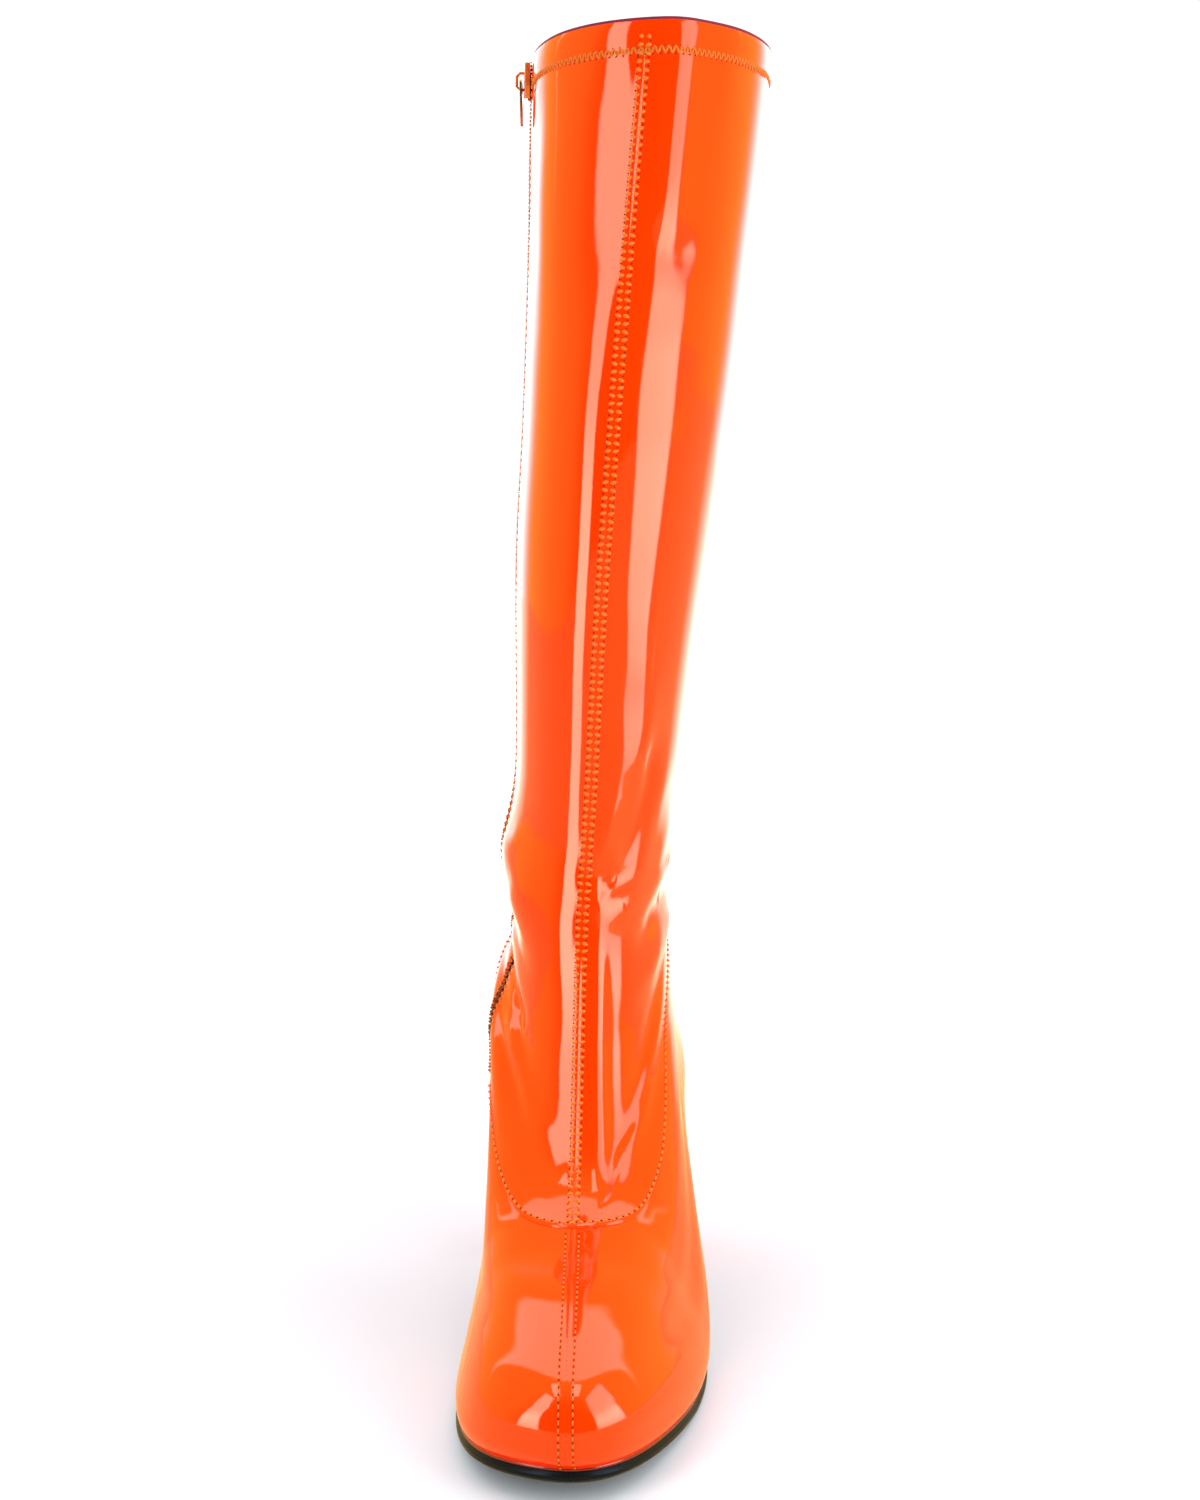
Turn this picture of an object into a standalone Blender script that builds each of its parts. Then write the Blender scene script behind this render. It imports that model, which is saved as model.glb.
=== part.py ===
"""Go go boot for the left foot: knee-high patent shaft, round toe, block heel and an inner side zip.

Metres, +Z up, the toe points to -Y and the outer (lateral) side to +X. The origin is the middle of
the heel's bearing face, on the floor. The upper is a stack of closed rings from the feather line,
where it meets the sole, up to the collar. A ring runs round by angle: 0 at the front, 90 degrees
on the outer side, 180 at the back and -90 on the inner side.
"""

import math

import bmesh
import bpy
import numpy as np

# Last and shaft
LENGTH = 0.232  # heel back to toe tip in plan
BALL_WIDTH = 0.084  # across the ball
HEEL_HEIGHT = 0.079  # floor to the sole at the back of the heel
TOE_SPRING = 0.008  # floor to the sole at the toe tip
ANKLE_HEIGHT = 0.163  # floor to the narrowest ring, at its front
ANKLE_TILT = 0.031  # how much higher that ring is at its back
ANKLE_WIDTH = 0.060
ANKLE_DEPTH = 0.100
BOOT_HEIGHT = 0.468  # floor to the collar
COLLAR_WIDTH = 0.088
COLLAR_DEPTH = 0.128
SHAFT_LEAN = 0.026  # how far the collar's middle stands to the outer side

# Upper
WALL = 0.0016
HEM_DEPTH = 0.011
HEM_FOLD = 0.0008  # extra wall where the hem is turned in
SEAM_STEP = 0.0005  # the shaft laps over the vamp by this much
SEAM_RING = 5.75  # the U seam and the zip's foot lie on this ring
SEAM_RAMP = 0.06  # width of the lap's step, in rings
LASTING_MARGIN = 0.009  # turned in under the insole

# Sole, insole and heel
SOLE_THICKNESS = 0.0038
SOLE_EDGE = 0.0018  # how far the sole stands out past the feather line
SOLE_BEVEL = 0.0007
INSOLE_THICKNESS = 0.0020
INSOLE_EASE = 0.0009  # between the insole's edge and the wall
HEEL_TOP_LENGTH = 0.060  # back of the seat to the heel's breast
HEEL_BASE_LENGTH = 0.044
HEEL_BASE_SET = 0.006  # how far the base's back stands in from the seat's back
HEEL_BASE_TAPER = 0.010  # how much narrower the base is than the seat
LIFT_THICKNESS = 0.006

# Zip
ZIP_ANGLE = -84.0  # degrees round the ring
SLIT = 0.0042
TAPE_REACH = 0.008  # tape behind the wall on each side
TAPE_THICKNESS = 0.0006
COIL_PROUD = 0.0010
SLIDER_LENGTH = 0.0125
SLIDER_WIDTH = 0.0084
SLIDER_PLATE = 0.0012
SLIDER_DROP = 0.0085  # collar edge to the slider's middle
BRIDGE_LENGTH = 0.0068
BRIDGE_HEIGHT = 0.0034  # plate to the top of the bridge
BRIDGE_BAR = 0.0010
BRIDGE_WIDTH = 0.0018
TAB_LENGTH = 0.0160  # pivot to the tab's free end
TAB_WIDTH = 0.0062
TAB_THICKNESS = 0.0009

GAP = 0.0003  # between pieces that meet
SEAT_GAP = 0.0005  # between the sole, the upper and the insole along the curved shank
ZIP_GAP = 0.0005  # between the zip and the wall, which the folds bend
SLIDER_GAP = 0.00045  # between the coil's crest and the slider

# Height of the sole's underside, as shares of HEEL_HEIGHT and TOE_SPRING
# along (share of LENGTH from the heel's back), heel, toe
SOLE_LINE = (
    (0.000, 1.000, 0.00),
    (0.110, 0.950, 0.00),
    (0.220, 0.862, 0.00),
    (0.320, 0.715, 0.00),
    (0.420, 0.492, 0.00),
    (0.500, 0.275, 0.00),
    (0.570, 0.115, 0.00),
    (0.620, 0.033, 0.00),
    (0.665, 0.000, 0.00),
    (0.725, 0.000, 0.00),
    (0.800, 0.000, 0.19),
    (0.900, 0.000, 0.54),
    (1.000, 0.000, 1.00),
)

# Rings of the foot, from the feather line up
# front, back: share of LENGTH from the heel's back. front_up: height over the feather line there,
# as a share of ANKLE_HEIGHT. back_up: the same over the seat, as a share of the ankle ring's rise.
# inner, outer: half widths as shares of BALL_WIDTH, or of ANKLE_WIDTH where by_ankle is 1.
# shift: how far the widest place lies ahead of the middle, as a share of the ring's length.
# full: roundness added between the axes. heel, waist: rounder heel, hollow waist, as shares of the
# half width. level: 0 follows the sole's line, 1 is a plane. lean: share of SHAFT_LEAN.
FOOT_COLUMNS = (
    "front", "front_up", "back", "back_up", "by_ankle", "inner", "outer",
    "shift_inner", "shift_outer", "full_inner", "full_outer", "heel", "waist", "level", "lean",
)
FOOT_RINGS = (
    (0.997, 0.000, 0.013, 0.000, 0, 0.492, 0.510, 0.145, 0.055, 0.03, -0.07, 0.27, 0.33, 0.00, 0.00),
    (1.014, 0.033, -0.004, 0.072, 0, 0.500, 0.548, 0.145, 0.055, 0.03, -0.06, 0.26, 0.25, 0.00, -0.02),
    (1.011, 0.100, -0.013, 0.153, 0, 0.476, 0.528, 0.140, 0.055, 0.03, -0.05, 0.23, 0.17, 0.00, -0.02),
    (0.972, 0.168, -0.017, 0.234, 0, 0.445, 0.478, 0.120, 0.050, 0.03, -0.05, 0.19, 0.11, 0.02, -0.03),
    (0.888, 0.241, -0.017, 0.315, 0, 0.421, 0.436, 0.080, 0.040, 0.03, -0.02, 0.15, 0.06, 0.06, -0.04),
    (0.793, 0.300, -0.013, 0.396, 0, 0.421, 0.408, 0.040, 0.000, 0.03, 0.00, 0.10, 0.02, 0.18, -0.06),
    (0.694, 0.364, 0.000, 0.486, 0, 0.404, 0.389, 0.000, -0.040, 0.02, 0.00, 0.07, 0.00, 0.38, -0.09),
    (0.608, 0.435, 0.017, 0.586, 1, 0.522, 0.524, -0.040, -0.070, 0.01, 0.00, 0.03, 0.00, 0.62, -0.09),
    (0.543, 0.515, 0.034, 0.694, 1, 0.484, 0.502, -0.050, -0.070, 0.00, 0.00, 0.00, 0.00, 0.85, -0.08),
    (0.496, 0.632, 0.043, 0.820, 1, 0.489, 0.497, -0.050, -0.050, 0.00, 0.00, 0.00, 0.00, 0.97, -0.06),
)

# Rings of the shaft, from the ankle up
# up: share of the way from the ankle ring to the collar. front: share of LENGTH.
# deep: share of the way from ANKLE_DEPTH to COLLAR_DEPTH. inner, outer: half widths, as shares of
# the way from ANKLE_WIDTH to COLLAR_WIDTH. shift, lean: as for the foot.
SHAFT_COLUMNS = ("up", "front", "deep", "inner", "outer", "shift", "lean")
SHAFT_RINGS = (
    (0.00, 0.470, 0.00, 0.03, 0.01, -0.040, -0.01),
    (0.13, 0.461, 0.14, 0.02, 0.17, -0.030, 0.11),
    (0.32, 0.466, 0.54, 0.28, 0.45, -0.020, 0.26),
    (0.55, 0.474, 0.86, 0.42, 0.78, -0.020, 0.49),
    (0.77, 0.478, 1.00, 0.65, 0.93, -0.020, 0.73),
    (1.00, 0.478, 1.00, 0.97, 1.00, -0.020, 1.00),
)

# Places along the sole, as shares of LENGTH from the heel's back
WAIST_INNER = 0.41
WAIST_OUTER = 0.38
WAIST_REACH = 0.15
WAIST_OUTER_DEPTH = 0.62  # the outer side's hollow, as a share of the inner side's
HEEL_ROUND = 0.05
HEEL_ROUND_REACH = 0.16

# Folds round the ankle, each a soft ridge or trough along a line on the upper
# from ring, from angle, to ring, to angle, width and push as shares of ANKLE_WIDTH (+ is outwards)
FOLD_COLUMNS = ("ring", "angle", "to_ring", "to_angle", "width", "push")
FOLDS = (
    (9.95, -125, 9.80, -60, 0.24, 0.050),
    (9.05, -120, 9.10, -62, 0.16, -0.034),
    (8.15, -110, 8.00, -62, 0.18, -0.042),
    (6.50, -105, 6.55, -66, 0.26, 0.036),
    (9.95, 120, 10.00, 62, 0.22, 0.036),
    (9.35, 118, 9.40, 58, 0.14, -0.034),
    (8.55, 110, 8.70, 66, 0.16, 0.022),
    (11.10, 36, 10.25, 14, 0.10, -0.030),
    (10.85, 48, 10.00, 32, 0.11, 0.018),
    (8.60, 76, 6.90, 24, 0.10, -0.030),
    (8.00, 84, 6.70, 44, 0.12, 0.020),
    (7.90, -74, 7.20, -30, 0.12, 0.014),
)
FOLD_RING_PITCH = 0.55  # a ring's height on the ankle, as a share of ANKLE_WIDTH
FOLD_DEGREE_PITCH = 0.010  # a degree's width on the ankle, as a share of ANKLE_WIDTH

ROW_STEPS = (3, 2, 2, 2, 2, 2, 3, 3, 3, 4, 5, 5, 3, 3, 2)  # mesh rows between one ring and the next
FRONT_COLUMNS = 11  # mesh columns from the zip to the front seam
BACK_COLUMNS = 34  # and on round the outer side and the back
SIDE_CROWDING = 0.16  # near the sole the columns crowd to the long sides by this, in radians
CROWDED_RINGS = 5.0
SEAM_CLEAR = 3  # no other mesh row lies this near the U seam, in ramps
HEM_CLEAR = 0.1  # nor this near the hem's edge, in rings
HEM_RAMP = SEAM_RAMP / 3
ZIP_FOOT = 0.4  # the zip's foot, as a share of the first mesh row over the seam
SOLE_STATIONS = 46
HEEL_STATIONS = 12
END_TURN = 0.02  # the plates end this share of a half turn from their round tips
HEEL_END_TURN = 0.06

# Levels of the heel block, from the seat down
# down: share of its height. taper: share of the way from the top's plan to the base's plan
HEEL_LEVELS = ((0.0, 0.0), (0.25, 0.42), (0.55, 0.78), (0.80, 0.94), (1.0, 1.0))


def spline(values, at):
    """Natural cubic spline through values at 0, 1, 2 and so on."""
    values = np.asarray(values, float)
    count = len(values)
    matrix = np.eye(count)
    right = np.zeros(count)
    for i in range(1, count - 1):
        matrix[i, i - 1 : i + 2] = 1, 4, 1
        right[i] = 3 * (values[i + 1] - 2 * values[i] + values[i - 1])
    bend = np.linalg.solve(matrix, right)
    at = np.asarray(at, float)
    k = np.clip(np.floor(at).astype(int), 0, count - 2)
    t = at - k
    slope = values[k + 1] - values[k] - (2 * bend[k] + bend[k + 1]) / 3
    return values[k] + slope * t + bend[k] * t**2 + (bend[k + 1] - bend[k]) / 3 * t**3


def monotone(knots, values, at):
    """Cubic through the knots that never overshoots them, so that a level stretch stays level."""
    knots = np.asarray(knots, float)
    values = np.asarray(values, float)
    width = np.diff(knots)
    rise = np.diff(values) / width
    slope = np.zeros(len(values))
    for i in range(1, len(values) - 1):
        if rise[i - 1] * rise[i] > 0:
            before = 2 * width[i] + width[i - 1]
            after = width[i] + 2 * width[i - 1]
            slope[i] = (before + after) / (before / rise[i - 1] + after / rise[i])
    slope[0] = rise[0]
    slope[-1] = rise[-1]
    at = np.clip(np.asarray(at, float), knots[0], knots[-1])
    k = np.clip(np.searchsorted(knots, at, side="right") - 1, 0, len(width) - 1)
    t = (at - knots[k]) / width[k]
    start = (2 * t**3 - 3 * t**2 + 1) * values[k] + (t**3 - 2 * t**2 + t) * width[k] * slope[k]
    end = (3 * t**2 - 2 * t**3) * values[k + 1] + (t**3 - t**2) * width[k] * slope[k + 1]
    return start + end


def underside(along):
    """Height of the sole's underside at this distance from the heel's back."""
    shares, heel, toe = np.array(SOLE_LINE).T
    return monotone(shares, heel * HEEL_HEIGHT + toe * TOE_SPRING, np.asarray(along) / LENGTH)


def feather(along):
    """Height of the feather line, where the upper turns under."""
    return underside(along) + SOLE_THICKNESS + SEAT_GAP


def ring_table():
    """Every ring's lengths in metres, a list for each column."""
    foot = dict(zip(FOOT_COLUMNS, np.array(FOOT_RINGS).T))
    shaft = dict(zip(SHAFT_COLUMNS, np.array(SHAFT_RINGS).T))
    seat = float(feather(0.0))
    ankle_back = ANKLE_HEIGHT + ANKLE_TILT
    girth = np.where(foot["by_ankle"] > 0, ANKLE_WIDTH, BALL_WIDTH)
    front = foot["front"] * LENGTH
    half_gain = (COLLAR_WIDTH - ANKLE_WIDTH) / 2
    shaft_front = shaft["front"] * LENGTH
    shaft_depth = ANKLE_DEPTH + shaft["deep"] * (COLLAR_DEPTH - ANKLE_DEPTH)
    none = np.zeros(len(SHAFT_RINGS))
    pairs = {
        "front": (front, shaft_front),
        "front_z": (
            feather(front) + foot["front_up"] * ANKLE_HEIGHT,
            ANKLE_HEIGHT + shaft["up"] * (BOOT_HEIGHT - ANKLE_HEIGHT),
        ),
        "back": (foot["back"] * LENGTH, shaft_front - shaft_depth),
        "back_z": (
            seat + foot["back_up"] * (ankle_back - seat),
            ankle_back + shaft["up"] * (BOOT_HEIGHT - ankle_back),
        ),
        "inner": (foot["inner"] * girth, ANKLE_WIDTH / 2 + shaft["inner"] * half_gain),
        "outer": (foot["outer"] * girth, ANKLE_WIDTH / 2 + shaft["outer"] * half_gain),
        "shift_inner": (foot["shift_inner"], shaft["shift"]),
        "shift_outer": (foot["shift_outer"], shaft["shift"]),
        "full_inner": (foot["full_inner"], none),
        "full_outer": (foot["full_outer"], none),
        "heel": (foot["heel"], none),
        "waist": (foot["waist"], none),
        "level": (foot["level"], none + 1),
        "lean": (foot["lean"] * SHAFT_LEAN, shaft["lean"] * SHAFT_LEAN),
    }
    return {name: np.concatenate(pair) for name, pair in pairs.items()}


RINGS = ring_table()
LAST_RING = len(RINGS["front"]) - 1
SEAT_BACK = float(RINGS["back"][0]) - (SOLE_EDGE - 2 * SOLE_BEVEL)
HEEL_CENTRE = SEAT_BACK + HEEL_BASE_SET + HEEL_BASE_LENGTH / 2


def smooth_surface(ring, angle):
    """Points of the upper's outside without its folds. ring and angle (radians) broadcast."""
    ring, angle = np.broadcast_arrays(np.asarray(ring, float), np.asarray(angle, float))
    at = {name: spline(values, ring) for name, values in RINGS.items()}
    ahead, aside = np.cos(angle), np.sin(angle)

    def sided(inner, outer):
        return (inner + outer) / 2 + (outer - inner) / 2 * aside

    length = at["front"] - at["back"]
    forward = (1 + ahead) / 2
    forward = forward**2 * (3 - 2 * forward)
    full = sided(at["full_inner"], at["full_outer"]) * forward
    reach = 1 + full * np.sin(2 * angle) ** 2
    along = (at["front"] + at["back"]) / 2 + length / 2 * reach * ahead
    along = along + length * sided(at["shift_inner"], at["shift_outer"]) * aside**2
    from_waist = (along / LENGTH - sided(WAIST_INNER, WAIST_OUTER)) / WAIST_REACH
    hollow = at["waist"] * sided(1.0, WAIST_OUTER_DEPTH) * np.exp(-(from_waist**2))
    from_heel = (along / LENGTH - HEEL_ROUND) / HEEL_ROUND_REACH
    round_heel = at["heel"] * np.exp(-(from_heel**2))
    x = sided(at["inner"], at["outer"]) * reach * aside * (1 - hollow + round_heel) + at["lean"]
    share = (along - at["back"]) / length
    over_front = at["front_z"] - feather(at["front"])
    over_back = at["back_z"] - feather(at["back"])
    by_sole = feather(along) + over_back + (over_front - over_back) * share
    plane = at["back_z"] + (at["front_z"] - at["back_z"]) * share
    z = by_sole + (plane - by_sole) * at["level"]
    return np.stack([x, HEEL_CENTRE - along, z], axis=-1)


def normals(surface, ring, angle):
    """Outward unit normals of a surface function."""
    step = 1e-3
    up = surface(ring + step, angle) - surface(ring - step, angle)
    around = surface(ring, angle + step) - surface(ring, angle - step)
    across = np.cross(around, up)
    return across / np.linalg.norm(across, axis=-1, keepdims=True)


def fold_push(ring, angle):
    """How far the folds push the wall outwards here."""
    degrees = np.degrees((np.asarray(angle) + math.pi) % (2 * math.pi) - math.pi)
    total = np.zeros(np.broadcast(ring, degrees).shape)
    up = np.asarray(ring) * FOLD_RING_PITCH
    across = degrees * FOLD_DEGREE_PITCH
    for row in FOLDS:
        fold = dict(zip(FOLD_COLUMNS, row))
        start = np.array([fold["ring"] * FOLD_RING_PITCH, fold["angle"] * FOLD_DEGREE_PITCH])
        end = np.array([fold["to_ring"] * FOLD_RING_PITCH, fold["to_angle"] * FOLD_DEGREE_PITCH])
        line = end - start
        share = ((up - start[0]) * line[0] + (across - start[1]) * line[1]) / (line @ line)
        share = np.clip(share, 0, 1)
        far = np.hypot(up - start[0] - share * line[0], across - start[1] - share * line[1])
        total = total + fold["push"] * ANKLE_WIDTH * np.exp(-((far / fold["width"]) ** 2))
    return total


def surface(ring, angle):
    """Points of the upper's outside, folds included."""
    ring, angle = np.broadcast_arrays(np.asarray(ring, float), np.asarray(angle, float))
    push = fold_push(ring, angle)[..., None]
    return smooth_surface(ring, angle) + push * normals(smooth_surface, ring, angle)


def mesh_rows():
    """Ring number of each mesh row, with rows on both sides of the U seam and of the hem."""
    rows = [0.0]
    for ring, steps in enumerate(ROW_STEPS):
        rows += [ring + (i + 1) / steps for i in range(steps)]
    hem = hem_ring()
    keep = [
        row for row in rows
        if abs(row - SEAM_RING) > SEAM_CLEAR * SEAM_RAMP
        and (row == LAST_RING or abs(row - hem) > HEM_CLEAR)
    ]
    return sorted(keep + [SEAM_RING, SEAM_RING + SEAM_RAMP, hem - HEM_RAMP, hem])


def hem_ring():
    """Ring number of the hem's lower edge."""
    top = RINGS["front_z"][-1] - RINGS["front_z"][-2]
    return LAST_RING - HEM_DEPTH / top


def column_angles(ring):
    """Angles of the mesh columns on this ring: slit edge, tape edge, on round, tape edge, slit edge."""
    middle = math.radians(ZIP_ANGLE)
    step = 1e-3
    around = surface(ring, middle + step) - surface(ring, middle - step)
    speed = float(np.linalg.norm(around)) / (2 * step)
    slit = SLIT / 2 / speed
    tape = (SLIT / 2 + TAPE_REACH) / speed
    ahead = np.linspace(middle + tape, 0, FRONT_COLUMNS)
    behind = np.linspace(0, 2 * math.pi + middle - tape, BACK_COLUMNS + 1)[1:]
    angles = np.concatenate([[middle + slit], ahead, behind, [2 * math.pi + middle - slit]])
    crowding = SIDE_CROWDING * max(0.0, 1 - ring / CROWDED_RINGS)
    return angles + crowding * np.sin(2 * angles)


def lift(ring):
    """The shaft laps over the vamp above the U seam."""
    return SEAM_STEP if ring > SEAM_RING + SEAM_RAMP / 2 else 0.0


def wall(ring):
    return WALL + (HEM_FOLD if ring > hem_ring() - HEM_RAMP / 2 else 0.0)


def wall_row(ring):
    """Outer points, inner points and normals of one mesh row."""
    angles = column_angles(ring)
    facing = normals(surface, ring, angles)
    outer = surface(ring, angles) + lift(ring) * facing
    inner = surface(ring, angles) - wall(ring) * facing
    return outer, inner, facing


def plan_inset(points, inset):
    """Closed outline in plan, moved inwards by inset. The outline runs anticlockwise."""
    ahead = np.roll(points, -1, axis=0) - np.roll(points, 1, axis=0)
    inwards = np.stack([-ahead[:, 1], ahead[:, 0]], axis=1)
    inwards /= np.linalg.norm(inwards, axis=1, keepdims=True)
    return points[:, :2] + inwards * inset


def new_material(name, colour, roughness, metallic=0.0):
    material = bpy.data.materials.new(name)
    material.use_nodes = True
    shader = material.node_tree.nodes["Principled BSDF"]
    shader.inputs["Base Color"].default_value = (*colour, 1.0)
    shader.inputs["Roughness"].default_value = roughness
    shader.inputs["Metallic"].default_value = metallic
    return material


def new_object(name, points, faces, material, location=(0.0, 0.0, 0.0)):
    """A mesh object with outward faces. The points are in world space."""
    mesh = bpy.data.meshes.new(name)
    mesh.from_pydata([tuple(np.subtract(p, location)) for p in points], [], faces)
    work = bmesh.new()
    work.from_mesh(mesh)
    bmesh.ops.recalc_face_normals(work, faces=work.faces)
    work.to_mesh(mesh)
    work.free()
    mesh.shade_smooth()
    mesh.set_sharp_from_angle(angle=math.radians(40))
    mesh.materials.append(material)
    made = bpy.data.objects.new(name, mesh)
    made.location = location
    bpy.context.scene.collection.objects.link(made)
    return made


def make_upper(material):
    """One hollow wall: outside, inside, collar rim, lasting margin underneath and the zip's slit."""
    rows = mesh_rows()
    made = [wall_row(ring) for ring in rows]
    outer = [row[0] for row in made]
    inner = [row[1] for row in made]
    count = len(outer[0])
    turned = plan_inset(outer[0], WALL)
    inner[0] = with_height(turned, feather(HEEL_CENTRE - turned[:, 1]) + WALL)
    margin = plan_inset(outer[0], LASTING_MARGIN)
    margin_z = feather(HEEL_CENTRE - margin[:, 1])
    under = with_height(margin, margin_z)
    over = with_height(margin, margin_z + WALL)
    # One loop of rows goes from the collar's rim down the outside, under, and up the inside.
    loop = outer[::-1] + [under, over] + inner
    slit_rows = sum(ring > SEAM_RING for ring in rows)
    first_closed, last_closed = slit_rows - 1, len(loop) - slit_rows
    faces = []
    for i in range(len(loop)):
        below = (i + 1) % len(loop)
        for j in range(count):
            if j == count - 1 and not first_closed <= i < last_closed:
                continue
            faces.append((i * count + j, i * count + (j + 1) % count,
                          below * count + (j + 1) % count, below * count + j))
    # The slit's two long edges, cut along the same diagonals as the coil beside them, and its foot
    for j, turn in ((0, 1), (count - 1, 0)):
        for i in range(slit_rows - 1):
            opposite = len(loop) - 1 - i
            edge = [i * count + j, opposite * count + j,
                    (opposite - 1) * count + j, (i + 1) * count + j]
            faces.append(tuple(edge[turn:] + edge[:turn]))
    foot, foot_inside = first_closed * count, last_closed * count
    faces.append((foot, foot + count - 1, foot_inside + count - 1, foot_inside))
    return new_object("upper", np.concatenate(loop), cut_quads(faces), material)


def cut_quads(faces):
    """Quads cut along one diagonal, so that the wall and the tape behind it stay parallel."""
    cut = []
    for face in faces:
        if len(face) == 4:
            cut += [(face[0], face[1], face[2]), (face[0], face[2], face[3])]
        else:
            cut.append(face)
    return cut


def with_height(plan, height):
    return np.column_stack([plan, height])


def feather_outline(grown, samples=720):
    """The feather line's plan, grown outwards. Positions along and half widths for each side."""
    angles = np.linspace(-math.pi, math.pi, samples, endpoint=False)
    ring = smooth_surface(0.0, angles)
    return plan_inset(ring, -grown)


def station_sides(outline, shares):
    """Where a plan outline crosses each station: along, x on the inner side, x on the outer side."""
    along = HEEL_CENTRE - outline[:, 1]
    back, front = along.min(), along.max()
    stations = back + (front - back) * shares
    sides = []
    middle = outline[np.argmin(along), 0], outline[np.argmax(along), 0]
    chord = np.interp(along, (back, front), middle)
    for keep in (outline[:, 0] <= chord, outline[:, 0] >= chord):
        order = np.argsort(along[keep])
        sides.append(np.interp(stations, along[keep][order], outline[keep, 0][order]))
    return stations, sides[0], sides[1]


def even_shares(count):
    """Shares of a length that crowd towards both round ends."""
    turn = np.linspace(END_TURN, 1 - END_TURN, count) * math.pi
    return (1 - np.cos(turn)) / 2


def plate(name, contours, shares, material):
    """A plate that follows the sole's line. contours: plan outline and height function, top to bottom."""
    points = []
    for outline, height in contours:
        along, inner, outer = station_sides(outline, shares)
        z = height(along)
        y = HEEL_CENTRE - along
        points.append(np.stack([np.column_stack([inner, y, z]), np.column_stack([outer, y, z])]))
    levels, count = len(points), len(shares)
    flat = np.concatenate([level.reshape(-1, 3) for level in points])

    def at(level, side, station):
        return level * 2 * count + side * count + station

    faces = []
    for station in range(count - 1):
        for level in (0, levels - 1):
            faces.append((at(level, 0, station), at(level, 1, station),
                          at(level, 1, station + 1), at(level, 0, station + 1)))
        for level in range(levels - 1):
            for side in (0, 1):
                faces.append((at(level, side, station), at(level, side, station + 1),
                              at(level + 1, side, station + 1), at(level + 1, side, station)))
    for station in (0, count - 1):
        for level in range(levels - 1):
            faces.append((at(level, 0, station), at(level, 1, station),
                          at(level + 1, 1, station), at(level + 1, 0, station)))
    return new_object(name, flat, faces, material)


def make_outsole(material):
    edge = feather_outline(SOLE_EDGE)
    pulled_in = feather_outline(SOLE_EDGE - SOLE_BEVEL)
    tread = feather_outline(SOLE_EDGE - 2 * SOLE_BEVEL)
    contours = (
        (pulled_in, lambda along: underside(along) + SOLE_THICKNESS),
        (edge, lambda along: underside(along) + SOLE_THICKNESS - SOLE_BEVEL),
        (edge, lambda along: underside(along) + 1.5 * SOLE_BEVEL),
        (tread, underside),
    )
    return plate("outsole", contours, even_shares(SOLE_STATIONS), material)


def make_insole(material):
    outline = feather_outline(-(WALL + INSOLE_EASE))
    rest = WALL + SEAT_GAP
    contours = (
        (outline, lambda along: feather(along) + rest + INSOLE_THICKNESS),
        (outline, lambda along: feather(along) + rest),
    )
    return plate("insole", contours, even_shares(SOLE_STATIONS), material)


def heel_plan(taper, stations):
    """The heel's plan between seat (taper 0) and base (1): along, inner x, outer x."""
    outline = feather_outline(SOLE_EDGE - 2 * SOLE_BEVEL)
    back = float((HEEL_CENTRE - outline[:, 1]).min())
    length = float((HEEL_CENTRE - outline[:, 1]).max()) - back
    turn = np.linspace(HEEL_END_TURN, 0.5, stations) * math.pi
    shares = (1 - np.cos(turn)) * HEEL_TOP_LENGTH / length
    along, inner, outer = station_sides(outline, shares)
    base_back = back + HEEL_BASE_SET
    on_base = base_back + (along - back) / HEEL_TOP_LENGTH * HEEL_BASE_LENGTH
    scale = 1 - HEEL_BASE_TAPER / float((outer - inner).max()) * taper
    middle = (inner + outer) / 2 * (1 - taper)
    half = (outer - inner) / 2 * scale
    return along + (on_base - along) * taper, middle - half, middle + half


def stack(name, levels, material):
    """A solid from plans of the same stations, each with its heights, top to bottom."""
    points = []
    for along, inner, outer, z in levels:
        y = HEEL_CENTRE - along
        points += [np.column_stack([inner, y, z]), np.column_stack([outer, y, z])[::-1]]
    ring = 2 * len(levels[0][0])
    flat = np.concatenate(points)
    faces = []
    for level in range(len(levels) - 1):
        for i in range(ring):
            a, b = level * ring + i, level * ring + (i + 1) % ring
            faces.append((a, b, b + ring, a + ring))
    half = ring // 2
    for level in (0, len(levels) - 1):
        first = level * ring
        for i in range(half - 1):
            faces.append((first + i, first + i + 1, first + ring - 2 - i, first + ring - 1 - i))
    return new_object(name, flat, faces, material)


def make_heel(material):
    base = LIFT_THICKNESS + GAP
    levels = []
    for down, taper in HEEL_LEVELS:
        along, inner, outer = heel_plan(taper, HEEL_STATIONS)
        seat_along = heel_plan(0.0, HEEL_STATIONS)[0]
        top = underside(seat_along) - GAP
        levels.append((along, inner, outer, top + (base - top) * down))
    return stack("heel_block", levels, material)


def make_lift(material):
    along, inner, outer = heel_plan(1.0, HEEL_STATIONS)
    flat = np.ones(HEEL_STATIONS)
    return stack(
        "top_lift",
        [(along, inner, outer, flat * LIFT_THICKNESS), (along, inner, outer, flat * 0.0)],
        material,
    )


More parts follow.
